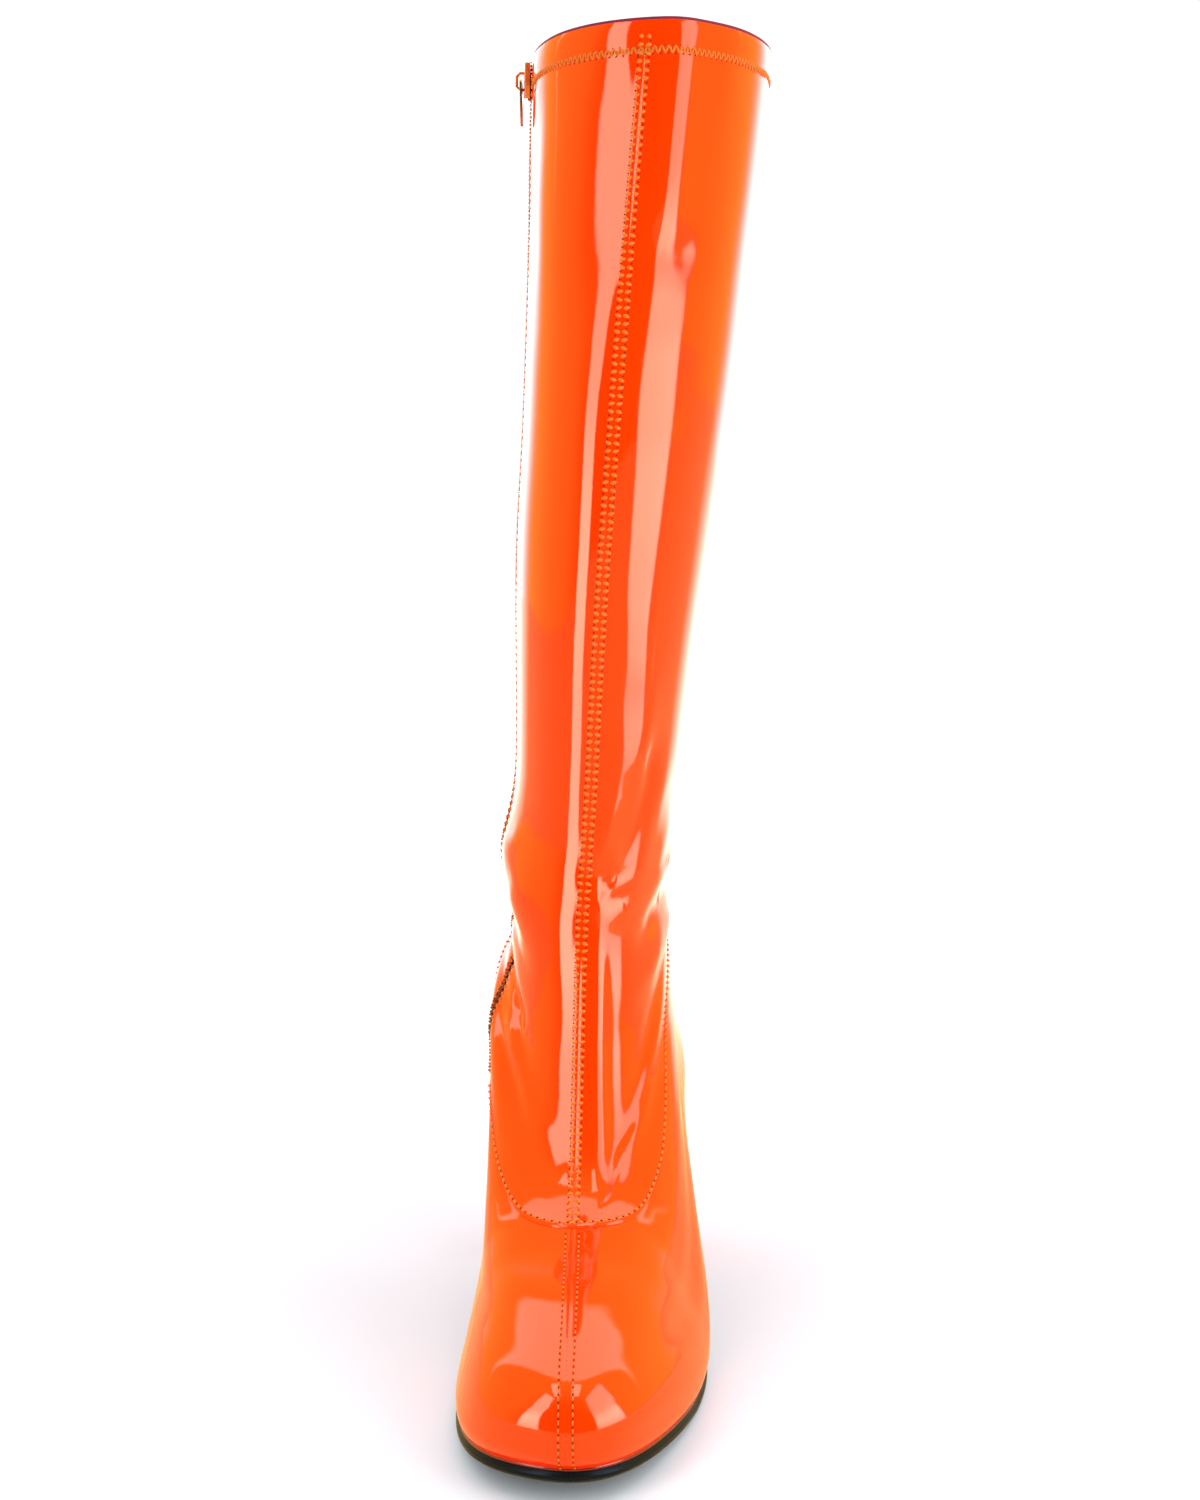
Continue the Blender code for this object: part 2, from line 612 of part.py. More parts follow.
def make_zip_chain(material):
    """Tape behind the wall and the closed coil standing in the slit, as one strip."""
    rows = [ring for ring in mesh_rows() if ring > SEAM_RING + SEAM_RAMP]
    foot = SEAM_RING + SEAM_RAMP + ZIP_FOOT * (rows[0] - SEAM_RING - SEAM_RAMP)
    sections = []
    for ring in [foot] + rows:
        outer, inner, facing = wall_row(ring)
        out = facing[0] + facing[-1]
        out /= np.linalg.norm(out)
        crest = np.array(between_lips(outer[0], outer[-1])) + COIL_PROUD * out
        root = np.array(between_lips(inner[0], inner[-1])) - ZIP_GAP * out
        tape = [inner[i] - ZIP_GAP * facing[i] for i in (1, -2)]
        deep = [point - TAPE_THICKNESS * facing[i] for point, i in zip(tape, (1, -2))]
        back = (root[0] + root[1]) / 2 - TAPE_THICKNESS * out
        sections.append([
            deep[0], back, deep[1], tape[1], root[1], crest[1], crest[0], root[0], tape[0],
        ])
    return swept("zip_chain", sections, material)


def between_lips(front, back):
    """The coil's two edges between the slit's lips."""
    side = (front - back) / np.linalg.norm(front - back)
    return front - ZIP_GAP * side, back + ZIP_GAP * side


def zip_frame(down):
    """Place on the coil's crest this far below the collar, the way up along it, and outwards."""
    angle = math.radians(ZIP_ANGLE)
    height = BOOT_HEIGHT - down
    low, high = SEAM_RING, float(LAST_RING)
    for _ in range(50):
        middle = (low + high) / 2
        low, high = (middle, high) if surface(middle, angle)[2] < height else (low, middle)
    step = 0.05
    up = surface(low + step, angle) - surface(low - step, angle)
    # The slider and its tab stand square to the front view, so their hinge runs along Y.
    up = np.array([up[0], 0.0, up[2]]) / math.hypot(up[0], up[2])
    out = np.array([-up[2], 0.0, up[0]])
    return surface(low, angle) + (SEAM_STEP + COIL_PROUD) * out, up, out


def placed(frame, sideways, along, outwards):
    """World point from a place in the zip's frame. Sideways runs to +Y, the boot's back."""
    origin, up, out = frame
    return origin + along * up + outwards * out + np.array([0.0, sideways, 0.0])


def pivot_out():
    """How far the tab's pivot stands out from the coil's crest."""
    bridge_inside = SLIDER_GAP + SLIDER_PLATE + BRIDGE_HEIGHT - BRIDGE_BAR
    return bridge_inside - 2 * GAP - TAB_THICKNESS / 2


def make_slider(material):
    """A channel over the coil with a bridge for the tab."""
    frame = zip_frame(SLIDER_DROP)
    floor = SLIDER_GAP
    top = floor + SLIDER_PLATE
    skirt = floor - COIL_PROUD
    coil_side = SLIT / 2 + GAP
    # share of the length from the foot up, share of the width
    shape = ((-0.5, 0.62), (-0.42, 0.74), (-0.1, 0.84), (0.30, 1.0), (0.5, 0.86))
    sections = []
    for share, wide in shape:
        half = SLIDER_WIDTH / 2 * wide
        sections.append([
            placed(frame, side, share * SLIDER_LENGTH, height)
            for side, height in (
                (-half, skirt), (-coil_side, skirt), (-coil_side, floor), (coil_side, floor),
                (coil_side, skirt), (half, skirt), (half, top - 0.3 * SLIDER_PLATE),
                (half * 0.8, top), (-half * 0.8, top), (-half, top - 0.3 * SLIDER_PLATE),
            )
        ])
    body = swept("slider", sections, material)
    reach = BRIDGE_LENGTH / 2
    low = top - SLIDER_PLATE / 2
    outside = [(-reach, low), (-reach, top + 0.55 * BRIDGE_HEIGHT), (-0.6 * reach, top + BRIDGE_HEIGHT),
               (0.6 * reach, top + BRIDGE_HEIGHT), (reach, top + 0.55 * BRIDGE_HEIGHT), (reach, low)]
    thin = BRIDGE_BAR
    inside = [(-reach + thin, low), (-reach + thin, top + 0.5 * BRIDGE_HEIGHT),
              (-0.6 * reach + 0.4 * thin, top + BRIDGE_HEIGHT - thin),
              (0.6 * reach - 0.4 * thin, top + BRIDGE_HEIGHT - thin),
              (reach - thin, top + 0.5 * BRIDGE_HEIGHT), (reach - thin, low)]
    side = BRIDGE_WIDTH / 2
    sections = [
        [placed(frame, side, *near), placed(frame, side, *far),
         placed(frame, -side, *far), placed(frame, -side, *near)]
        for near, far in zip(inside, outside)
    ]
    bridge = swept("bridge", sections, material)
    join = body.modifiers.new("bridge", "BOOLEAN")
    join.operation = "UNION"
    join.solver = "EXACT"
    join.object = bridge
    bridge.hide_render = True
    bridge.display_type = "WIRE"
    return body


def swept(name, sections, material):
    """A solid through sections of the same number of points, capped at both ends."""
    count = len(sections[0])
    faces = [tuple(range(count)), tuple((len(sections) - 1) * count + i for i in range(count))]
    for i in range(len(sections) - 1):
        for j in range(count):
            k = (j + 1) % count
            faces.append((i * count + j, i * count + k, (i + 1) * count + k, (i + 1) * count + j))
    return new_object(name, np.concatenate(sections), cut_quads(faces), material)


def make_pull_tab(material):
    """A plate that hangs from the bridge by the bar above its window. Its origin is on the pivot."""
    frame = zip_frame(SLIDER_DROP)
    pivot = placed(frame, 0.0, 0.0, pivot_out())
    bar = TAB_THICKNESS
    half = TAB_WIDTH / 2
    window_half = BRIDGE_WIDTH / 2 + 2 * GAP
    window_foot = BRIDGE_LENGTH / 2 + 4 * GAP
    # sideways and height under the pivot, clockwise from the top left
    outside = [(-0.75 * half, bar / 2), (0.75 * half, bar / 2), (half, -0.2 * half),
               (half, -0.80 * TAB_LENGTH), (0.70 * half, -0.95 * TAB_LENGTH), (0.3 * half, -TAB_LENGTH),
               (-0.3 * half, -TAB_LENGTH), (-0.70 * half, -0.95 * TAB_LENGTH),
               (-half, -0.80 * TAB_LENGTH), (-half, -0.2 * half)]
    inside = [(-window_half, -bar / 2), (window_half, -bar / 2), (window_half, -0.35 * window_foot),
              (window_half, -0.8 * window_foot), (0.8 * window_half, -window_foot),
              (0.3 * window_half, -window_foot), (-0.3 * window_half, -window_foot),
              (-0.8 * window_half, -window_foot), (-window_half, -0.8 * window_foot),
              (-window_half, -0.35 * window_foot)]
    points = []
    for offset in (-TAB_THICKNESS / 2, TAB_THICKNESS / 2):
        for loop in (outside, inside):
            points += [pivot + np.array([offset, side, height]) for side, height in loop]
    count = len(outside)
    faces = []
    for i in range(count):
        j = (i + 1) % count
        faces.append((i, j, count + j, count + i))
        faces.append((2 * count + i, 2 * count + j, 3 * count + j, 3 * count + i))
        faces.append((i, j, 2 * count + j, 2 * count + i))
        faces.append((count + i, count + j, 3 * count + j, 3 * count + i))
    return new_object("pull_tab", points, faces, material, tuple(pivot))


def build():
    for old in list(bpy.data.objects):
        bpy.data.objects.remove(old, do_unlink=True)
    patent = new_material("orange patent", (0.95, 0.13, 0.01), 0.08)
    sole_rubber = new_material("black sole", (0.012, 0.012, 0.013), 0.35)
    lining = new_material("pale lining", (0.62, 0.50, 0.36), 0.8)
    coil = new_material("orange zip", (0.70, 0.16, 0.03), 0.5)
    lacquer = new_material("orange lacquered metal", (0.72, 0.14, 0.02), 0.25, 0.4)
    copper = new_material("copper brown metal", (0.36, 0.14, 0.06), 0.3, 1.0)
    make_upper(patent)
    make_outsole(sole_rubber)
    make_insole(lining)
    make_heel(patent)
    make_lift(sole_rubber)
    make_zip_chain(coil)
    make_slider(lacquer)
    make_pull_tab(copper)


build()
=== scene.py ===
"""Looks of the go go boot: patent skin with its creases, seams and stitches, zip, sole and heel.

Everything is in metres in the model's own frame: +Z up, the toe points to -Y and the outer side to
+X. The upper's surface is a stack of rings, from 0 at the feather line to 15 at the collar, and a
place on a ring is an angle: 0 at the front, 90 on the outer side, 180 at the back, -90 inside.
"""

import math

import bpy
import numpy as np
from mathutils import Matrix, Vector


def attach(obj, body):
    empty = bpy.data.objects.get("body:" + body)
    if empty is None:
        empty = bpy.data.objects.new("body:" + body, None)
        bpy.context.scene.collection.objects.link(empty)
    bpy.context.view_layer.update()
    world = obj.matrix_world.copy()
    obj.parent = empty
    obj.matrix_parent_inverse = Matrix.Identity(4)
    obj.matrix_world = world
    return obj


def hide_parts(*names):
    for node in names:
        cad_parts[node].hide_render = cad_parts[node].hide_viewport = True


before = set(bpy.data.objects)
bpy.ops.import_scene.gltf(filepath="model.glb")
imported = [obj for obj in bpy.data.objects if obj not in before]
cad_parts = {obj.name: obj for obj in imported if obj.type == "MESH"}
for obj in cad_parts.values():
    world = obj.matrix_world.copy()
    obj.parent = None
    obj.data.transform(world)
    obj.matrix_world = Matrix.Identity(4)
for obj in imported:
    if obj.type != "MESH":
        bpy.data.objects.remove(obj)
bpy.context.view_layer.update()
bpy.ops.object.select_all(action="DESELECT")

# Last and shaft, as in the solids
LENGTH = 0.232
BALL_WIDTH = 0.084
HEEL_HEIGHT = 0.079
TOE_SPRING = 0.008
ANKLE_HEIGHT = 0.163
ANKLE_TILT = 0.031
ANKLE_WIDTH = 0.060
ANKLE_DEPTH = 0.100
BOOT_HEIGHT = 0.468
COLLAR_WIDTH = 0.088
COLLAR_DEPTH = 0.128
SHAFT_LEAN = 0.026
WALL = 0.0014
LAP = 0.0006
SOLE_THICKNESS = 0.0038
SOLE_EDGE = 0.0018
SOLE_BEVEL = 0.0007
SOLE_END = 0.0008
SEAT_GAP = 0.0005
HEEL_TOP_LENGTH = 0.060
HEEL_BASE_LENGTH = 0.044
HEEL_BASE_SET = 0.006
HEEL_BASE_TAPER = 0.010
LIFT_THICKNESS = 0.006
ZIP_ANGLE = -84.0
SLIT = 0.0042
HEM_DEPTH = 0.0105
COLLAR_LINE = 0.0007
SEAM_PITCH = 0.0027
VAMP_PITCH = 0.0024
LAP_PITCH = 0.0029
HEM_PITCH = 0.0012
TEETH_PITCH = 0.0014

# Sole's underside: along (share of LENGTH), heel and toe shares of its height
SOLE_LINE = (
    (0.000, 1.000, 0.00), (0.110, 0.950, 0.00), (0.220, 0.862, 0.00), (0.320, 0.715, 0.00),
    (0.420, 0.492, 0.00), (0.500, 0.275, 0.00), (0.570, 0.115, 0.00), (0.620, 0.033, 0.00),
    (0.665, 0.000, 0.00), (0.725, 0.000, 0.00), (0.800, 0.000, 0.19), (0.900, 0.000, 0.54),
    (1.000, 0.000, 1.00),
)

# Foot rings and shaft rings, as in the solids
FOOT_COLUMNS = (
    "front", "front_up", "back", "back_up", "by_ankle", "inner", "outer",
    "shift_inner", "shift_outer", "full_inner", "full_outer", "heel", "waist", "level", "lean",
)
FOOT_RINGS = (
    (0.997, 0.000, 0.013, 0.000, 0, 0.492, 0.510, 0.145, 0.055, 0.03, -0.07, 0.27, 0.33, 0.00, 0.00),
    (1.014, 0.033, -0.004, 0.072, 0, 0.500, 0.548, 0.145, 0.055, 0.03, -0.06, 0.26, 0.25, 0.00, -0.02),
    (1.011, 0.100, -0.013, 0.153, 0, 0.476, 0.528, 0.140, 0.055, 0.03, -0.05, 0.23, 0.17, 0.00, -0.02),
    (0.972, 0.168, -0.017, 0.234, 0, 0.445, 0.478, 0.120, 0.050, 0.03, -0.05, 0.19, 0.11, 0.02, -0.03),
    (0.888, 0.241, -0.017, 0.315, 0, 0.421, 0.436, 0.080, 0.040, 0.03, -0.02, 0.15, 0.06, 0.06, -0.04),
    (0.793, 0.300, -0.013, 0.396, 0, 0.421, 0.408, 0.040, 0.000, 0.03, 0.00, 0.10, 0.02, 0.18, -0.06),
    (0.694, 0.364, 0.000, 0.486, 0, 0.404, 0.389, 0.000, -0.040, 0.02, 0.00, 0.07, 0.00, 0.38, -0.09),
    (0.608, 0.435, 0.017, 0.586, 1, 0.522, 0.524, -0.040, -0.070, 0.01, 0.00, 0.03, 0.00, 0.62, -0.09),
    (0.543, 0.515, 0.034, 0.694, 1, 0.484, 0.502, -0.050, -0.070, 0.00, 0.00, 0.00, 0.00, 0.85, -0.08),
    (0.496, 0.632, 0.043, 0.820, 1, 0.489, 0.497, -0.050, -0.050, 0.00, 0.00, 0.00, 0.00, 0.97, -0.06),
)
SHAFT_COLUMNS = ("up", "front", "deep", "inner", "outer", "shift", "lean")
SHAFT_RINGS = (
    (0.00, 0.470, 0.00, 0.03, 0.01, -0.040, -0.01),
    (0.13, 0.461, 0.14, 0.02, 0.17, -0.030, 0.11),
    (0.32, 0.466, 0.54, 0.28, 0.45, -0.020, 0.26),
    (0.55, 0.474, 0.86, 0.42, 0.78, -0.020, 0.49),
    (0.77, 0.478, 1.00, 0.65, 0.93, -0.020, 0.73),
    (1.00, 0.478, 1.00, 0.97, 1.00, -0.020, 1.00),
)
WAIST_INNER = 0.41
WAIST_OUTER = 0.38
WAIST_REACH = 0.15
WAIST_OUTER_DEPTH = 0.62
HEEL_ROUND = 0.05
HEEL_ROUND_REACH = 0.16

# Soft ridges (+) and troughs (-) along lines on the upper
# from ring, from angle, to ring, to angle, width and push as shares of ANKLE_WIDTH
FOLDS = (
    (9.95, -125, 9.80, -60, 0.24, 0.050),
    (9.05, -120, 9.10, -62, 0.16, -0.034),
    (8.15, -110, 8.00, -62, 0.18, -0.042),
    (6.50, -105, 6.55, -66, 0.26, 0.036),
    (9.95, 120, 10.00, 62, 0.22, 0.036),
    (9.35, 118, 9.40, 58, 0.14, -0.034),
    (8.55, 110, 8.70, 66, 0.16, 0.022),
    (11.10, 36, 10.25, 14, 0.10, -0.030),
    (10.85, 48, 10.00, 32, 0.11, 0.018),
    (8.60, 76, 6.90, 34, 0.11, -0.012),
    (8.00, 84, 6.70, 44, 0.13, 0.010),
    (7.90, -74, 7.20, -30, 0.12, 0.014),
)
# Finer creases that only the skin shows, each along a line of (ring, angle) places:
# push in metres, width on the left and on the right of the line in metres
CREASES = (
    (-0.0022, 0.010, 0.010, ((14.95, -15), (14.20, -15), (13.45, -16))),
    (0.0027, 0.0062, 0.0065, ((15.20, 14.5), (14.50, 14.5), (13.85, 16))),
    (-0.0016, 0.008, 0.008, ((13.98, 27), (13.80, 26))),
    (0.0018, 0.020, 0.020, ((4.50, -50), (4.55, 0), (4.45, 42))),
    (-0.0015, 0.025, 0.025, ((6.45, -46), (6.60, 0), (6.45, 40))),
    (-0.0005, 0.010, 0.010, ((13.45, 25), (12.90, 25))),
    (0.0005, 0.006, 0.006, ((12.20, 22), (11.60, 24))),
    (0.0026, 0.0050, 0.0110, ((11.60, 32), (11.00, 30), (10.47, 20), (10.22, 17), (10.05, 22))),
    (-0.0012, 0.003, 0.004, ((10.08, 16), (9.98, 20), (10.00, 34))),
    (0.0023, 0.0042, 0.0080, ((9.95, 10), (8.95, 11), (7.70, 12.5), (6.30, 16))),
    (0.0005, 0.004, 0.010, ((8.05, 74), (7.40, 63), (7.10, 50), (7.05, 42), (6.75, 34))),
    (0.0009, 0.003, 0.006, ((8.90, 88), (8.30, 72), (8.15, 62))),
    (-0.0008, 0.004, 0.006, ((10.20, 92), (10.00, 66), (10.05, 52))),
    (0.0007, 0.004, 0.004, ((10.50, -50), (10.20, -62), (9.96, -80))),
    (-0.0009, 0.004, 0.005, ((9.95, -50), (9.70, -66), (9.50, -84))),
    (0.0007, 0.004, 0.006, ((9.30, -48), (8.95, -60), (8.70, -80))),
    (-0.0008, 0.003, 0.006, ((8.30, -46), (7.90, -60), (7.30, -80))),
    (0.0010, 0.003, 0.012, ((7.90, -46), (7.35, -58), (6.40, -80))),
    (-0.0006, 0.006, 0.006, ((7.50, -40), (6.70, -50), (6.10, -64))),
    (-0.0006, 0.006, 0.006, ((14.90, -60), (14.20, -70), (13.60, -62))),
    (0.0004, 0.005, 0.005, ((14.95, 44), (14.60, 40))),
    (-0.0005, 0.006, 0.006, ((14.95, -34), (14.70, -38))),
)
FOLD_RING_PITCH = 0.55
FOLD_DEGREE_PITCH = 0.010

# The seam between shaft and vamp: angle, ring
LAP_LINE = (
    (-84, 5.52), (-66, 5.76), (-33, 5.79), (-10, 5.88), (5, 5.90), (16, 5.84), (30, 5.68),
    (48, 5.50), (60, 5.47), (68, 5.75), (74, 6.45), (82, 6.95), (100, 7.25), (140, 7.45),
    (180, 7.50), (220, 7.35), (250, 6.60), (268, 5.80), (276, 5.52),
)
COLLAR = 15.0


def spline(values, at):
    """Natural cubic spline through values at 0, 1, 2 and so on."""
    values = np.asarray(values, float)
    count = len(values)
    matrix = np.eye(count)
    right = np.zeros(count)
    for i in range(1, count - 1):
        matrix[i, i - 1 : i + 2] = 1, 4, 1
        right[i] = 3 * (values[i + 1] - 2 * values[i] + values[i - 1])
    bend = np.linalg.solve(matrix, right)
    at = np.asarray(at, float)
    k = np.clip(np.floor(at).astype(int), 0, count - 2)
    t = at - k
    slope = values[k + 1] - values[k] - (2 * bend[k] + bend[k + 1]) / 3
    return values[k] + slope * t + bend[k] * t**2 + (bend[k + 1] - bend[k]) / 3 * t**3


def monotone(knots, values, at):
    """Cubic through the knots that never overshoots them."""
    knots = np.asarray(knots, float)
    values = np.asarray(values, float)
    width = np.diff(knots)
    rise = np.diff(values) / width
    slope = np.zeros(len(values))
    for i in range(1, len(values) - 1):
        if rise[i - 1] * rise[i] > 0:
            before = 2 * width[i] + width[i - 1]
            after = width[i] + 2 * width[i - 1]
            slope[i] = (before + after) / (before / rise[i - 1] + after / rise[i])
    slope[0] = rise[0]
    slope[-1] = rise[-1]
    at = np.clip(np.asarray(at, float), knots[0], knots[-1])
    k = np.clip(np.searchsorted(knots, at, side="right") - 1, 0, len(width) - 1)
    t = (at - knots[k]) / width[k]
    start = (2 * t**3 - 3 * t**2 + 1) * values[k] + (t**3 - 2 * t**2 + t) * width[k] * slope[k]
    end = (3 * t**2 - 2 * t**3) * values[k + 1] + (t**3 - t**2) * width[k] * slope[k + 1]
    return start + end


def underside(along):
    shares, heel, toe = np.array(SOLE_LINE).T
    return monotone(shares, heel * HEEL_HEIGHT + toe * TOE_SPRING, np.asarray(along) / LENGTH)


def feather(along):
    return underside(along) + SOLE_THICKNESS + SEAT_GAP


def ring_table():
    foot = dict(zip(FOOT_COLUMNS, np.array(FOOT_RINGS).T))
    shaft = dict(zip(SHAFT_COLUMNS, np.array(SHAFT_RINGS).T))
    seat = float(feather(0.0))
    ankle_back = ANKLE_HEIGHT + ANKLE_TILT
    girth = np.where(foot["by_ankle"] > 0, ANKLE_WIDTH, BALL_WIDTH)
    front = foot["front"] * LENGTH
    gain = (COLLAR_WIDTH - ANKLE_WIDTH) / 2
    shaft_front = shaft["front"] * LENGTH
    shaft_depth = ANKLE_DEPTH + shaft["deep"] * (COLLAR_DEPTH - ANKLE_DEPTH)
    none = np.zeros(len(SHAFT_RINGS))
    pairs = {
        "front": (front, shaft_front),
        "front_z": (
            feather(front) + foot["front_up"] * ANKLE_HEIGHT,
            ANKLE_HEIGHT + shaft["up"] * (BOOT_HEIGHT - ANKLE_HEIGHT),
        ),
        "back": (foot["back"] * LENGTH, shaft_front - shaft_depth),
        "back_z": (
            seat + foot["back_up"] * (ankle_back - seat),
            ankle_back + shaft["up"] * (BOOT_HEIGHT - ankle_back),
        ),
        "inner": (foot["inner"] * girth, ANKLE_WIDTH / 2 + shaft["inner"] * gain),
        "outer": (foot["outer"] * girth, ANKLE_WIDTH / 2 + shaft["outer"] * gain),
        "shift_inner": (foot["shift_inner"], shaft["shift"]),
        "shift_outer": (foot["shift_outer"], shaft["shift"]),
        "full_inner": (foot["full_inner"], none),
        "full_outer": (foot["full_outer"], none),
        "heel": (foot["heel"], none),
        "waist": (foot["waist"], none),
        "level": (foot["level"], none + 1),
        "lean": (foot["lean"] * SHAFT_LEAN, shaft["lean"] * SHAFT_LEAN),
    }
    return {name: np.concatenate(pair) for name, pair in pairs.items()}


RINGS = ring_table()
SEAT_BACK = float(RINGS["back"][0]) - (SOLE_EDGE - 2 * SOLE_BEVEL)
HEEL_CENTRE = SEAT_BACK + HEEL_BASE_SET + HEEL_BASE_LENGTH / 2


def smooth_surface(ring, angle):
    """Points of the upper's outside without folds."""
    ring, angle = np.broadcast_arrays(np.asarray(ring, float), np.asarray(angle, float))
    at = {name: spline(values, ring) for name, values in RINGS.items()}
    ahead, aside = np.cos(angle), np.sin(angle)

    def sided(inner, outer):
        return (inner + outer) / 2 + (outer - inner) / 2 * aside

    length = at["front"] - at["back"]
    forward = (1 + ahead) / 2
    forward = forward**2 * (3 - 2 * forward)
    full = sided(at["full_inner"], at["full_outer"]) * forward
    reach = 1 + full * np.sin(2 * angle) ** 2
    along = (at["front"] + at["back"]) / 2 + length / 2 * reach * ahead
    along = along + length * sided(at["shift_inner"], at["shift_outer"]) * aside**2
    from_waist = (along / LENGTH - sided(WAIST_INNER, WAIST_OUTER)) / WAIST_REACH
    hollow = at["waist"] * sided(1.0, WAIST_OUTER_DEPTH) * np.exp(-(from_waist**2))
    from_heel = (along / LENGTH - HEEL_ROUND) / HEEL_ROUND_REACH
    round_heel = at["heel"] * np.exp(-(from_heel**2))
    x = sided(at["inner"], at["outer"]) * reach * aside * (1 - hollow + round_heel) + at["lean"]
    share = (along - at["back"]) / length
    over_front = at["front_z"] - feather(at["front"])
    over_back = at["back_z"] - feather(at["back"])
    by_sole = feather(along) + over_back + (over_front - over_back) * share
    plane = at["back_z"] + (at["front_z"] - at["back_z"]) * share
    z = by_sole + (plane - by_sole) * at["level"]
    return np.stack([x, HEEL_CENTRE - along, z], axis=-1)


def normals(surface, ring, angle):
    """Outward unit normals of a surface function."""
    step = 1e-3
    up = surface(ring + step, angle) - surface(ring - step, angle)
    around = surface(ring, angle + step) - surface(ring, angle - step)
    across = np.cross(around, up)
    return across / np.linalg.norm(across, axis=-1, keepdims=True)


def turned(angle):
    """Angle in degrees from -180 to 180."""
    return np.degrees((np.asarray(angle) + math.pi) % (2 * math.pi) - math.pi)


def fold_push(ring, angle):
    """How far folds and creases push the skin outwards."""
    degrees = turned(angle)
    total = np.zeros(np.broadcast(ring, degrees).shape)
    up = np.asarray(ring) * FOLD_RING_PITCH
    across = degrees * FOLD_DEGREE_PITCH
    for ring0, angle0, ring1, angle1, width, push in FOLDS:
        start = np.array([ring0 * FOLD_RING_PITCH, angle0 * FOLD_DEGREE_PITCH])
        line = np.array([ring1 * FOLD_RING_PITCH, angle1 * FOLD_DEGREE_PITCH]) - start
        share = ((up - start[0]) * line[0] + (across - start[1]) * line[1]) / (line @ line)
        share = np.clip(share, 0, 1)
        far = np.hypot(up - start[0] - share * line[0], across - start[1] - share * line[1])
        total = total + push * ANKLE_WIDTH * np.exp(-((far / width) ** 2))
    return total


def crease_push(ring, angle):
    """How far the fine creases push the skin. A crease fades out at both ends."""
    degrees = turned(angle)
    up = np.asarray(ring) * FOLD_RING_PITCH * ANKLE_WIDTH
    across = degrees * FOLD_DEGREE_PITCH * ANKLE_WIDTH
    up, across = np.broadcast_arrays(up, across)
    total = np.zeros(up.shape)
    for push, left, right, line in CREASES:
        places = np.array(line) * (FOLD_RING_PITCH * ANKLE_WIDTH, FOLD_DEGREE_PITCH * ANKLE_WIDTH)
        lengths = np.linalg.norm(np.diff(places, axis=0), axis=1)
        nearest = np.full(up.shape, 1.0)
        side = np.zeros(up.shape)
        along = np.zeros(up.shape)
        passed = 0.0
        for start, run, length in zip(places[:-1], np.diff(places, axis=0), lengths):
            share = ((up - start[0]) * run[0] + (across - start[1]) * run[1]) / length**2
            share = np.clip(share, 0, 1)
            off_up = up - start[0] - share * run[0]
            off_across = across - start[1] - share * run[1]
            far = np.hypot(off_up, off_across)
            nearer = far < nearest
            nearest = np.where(nearer, far, nearest)
            side = np.where(nearer, run[0] * off_across - run[1] * off_up, side)
            along = np.where(nearer, passed + share * length, along)
            passed += length
        width = np.where(side > 0, right, left)
        ends = np.clip(np.minimum(along, passed - along) / (0.3 * passed), 0, 1)
        fade = 0.35 + 0.65 * ends * ends * (3 - 2 * ends)
        total += push * fade * np.exp(-((nearest / width) ** 2))
    return total


def ripple(ring, angle):
    """Long shallow waves of stretch patent, a few hundredths of a millimetre to 0.2 mm deep."""
    waves = (
        (2.1, 1.0, 0.3, 0.00010), (3.7, -2.0, 1.9, 0.00007), (1.3, 3.0, 4.0, 0.00009),
        (6.3, 2.0, 2.2, 0.00004), (5.2, -4.0, 0.7, 0.00005), (8.9, 1.0, 5.1, 0.00002),
    )
    total = 0.0
    for up, around, phase, height in waves:
        total = total + height * np.sin(up * ring + around * angle + phase)
    return total


def skin(ring, angle):
    """Points of the skin, folds and waves included."""
    ring, angle = np.broadcast_arrays(np.asarray(ring, float), np.asarray(angle, float))
    push = (fold_push(ring, angle) + crease_push(ring, angle) + ripple(ring, angle))[..., None]
    return smooth_surface(ring, angle) + push * normals(smooth_surface, ring, angle)


def lap_ring(angle):
    """Ring of the shaft's lower edge at this angle."""
    degrees = (np.degrees(angle) - ZIP_ANGLE) % 360 + ZIP_ANGLE
    angles, rings = np.array(LAP_LINE).T
    return monotone(angles, rings, degrees)


def bump_at(offset, width):
    """A round ridge of height 1 at offset 0."""
    return np.exp(-((offset / width) ** 2))


def seam_relief(ring, angle, centre, points):
    """Welts and groove of an upright seam. points: the skin, to measure how far a degree reaches."""
    away = (angle - centre + math.pi) % (2 * math.pi) - math.pi
    column = int(np.argmin(np.abs(away[0])))
    row = points[:, column : column + 1]
    arc = np.linalg.norm(points - row, axis=-1) * np.sign(away)
    arc = np.where(np.abs(away) < 0.5, arc, 1.0)
    welts = 0.00005 * (bump_at(arc - 0.0013, 0.0009) + bump_at(arc + 0.0013, 0.0009))
    return welts - 0.00005 * bump_at(arc, 0.00035)


# Shader expressions


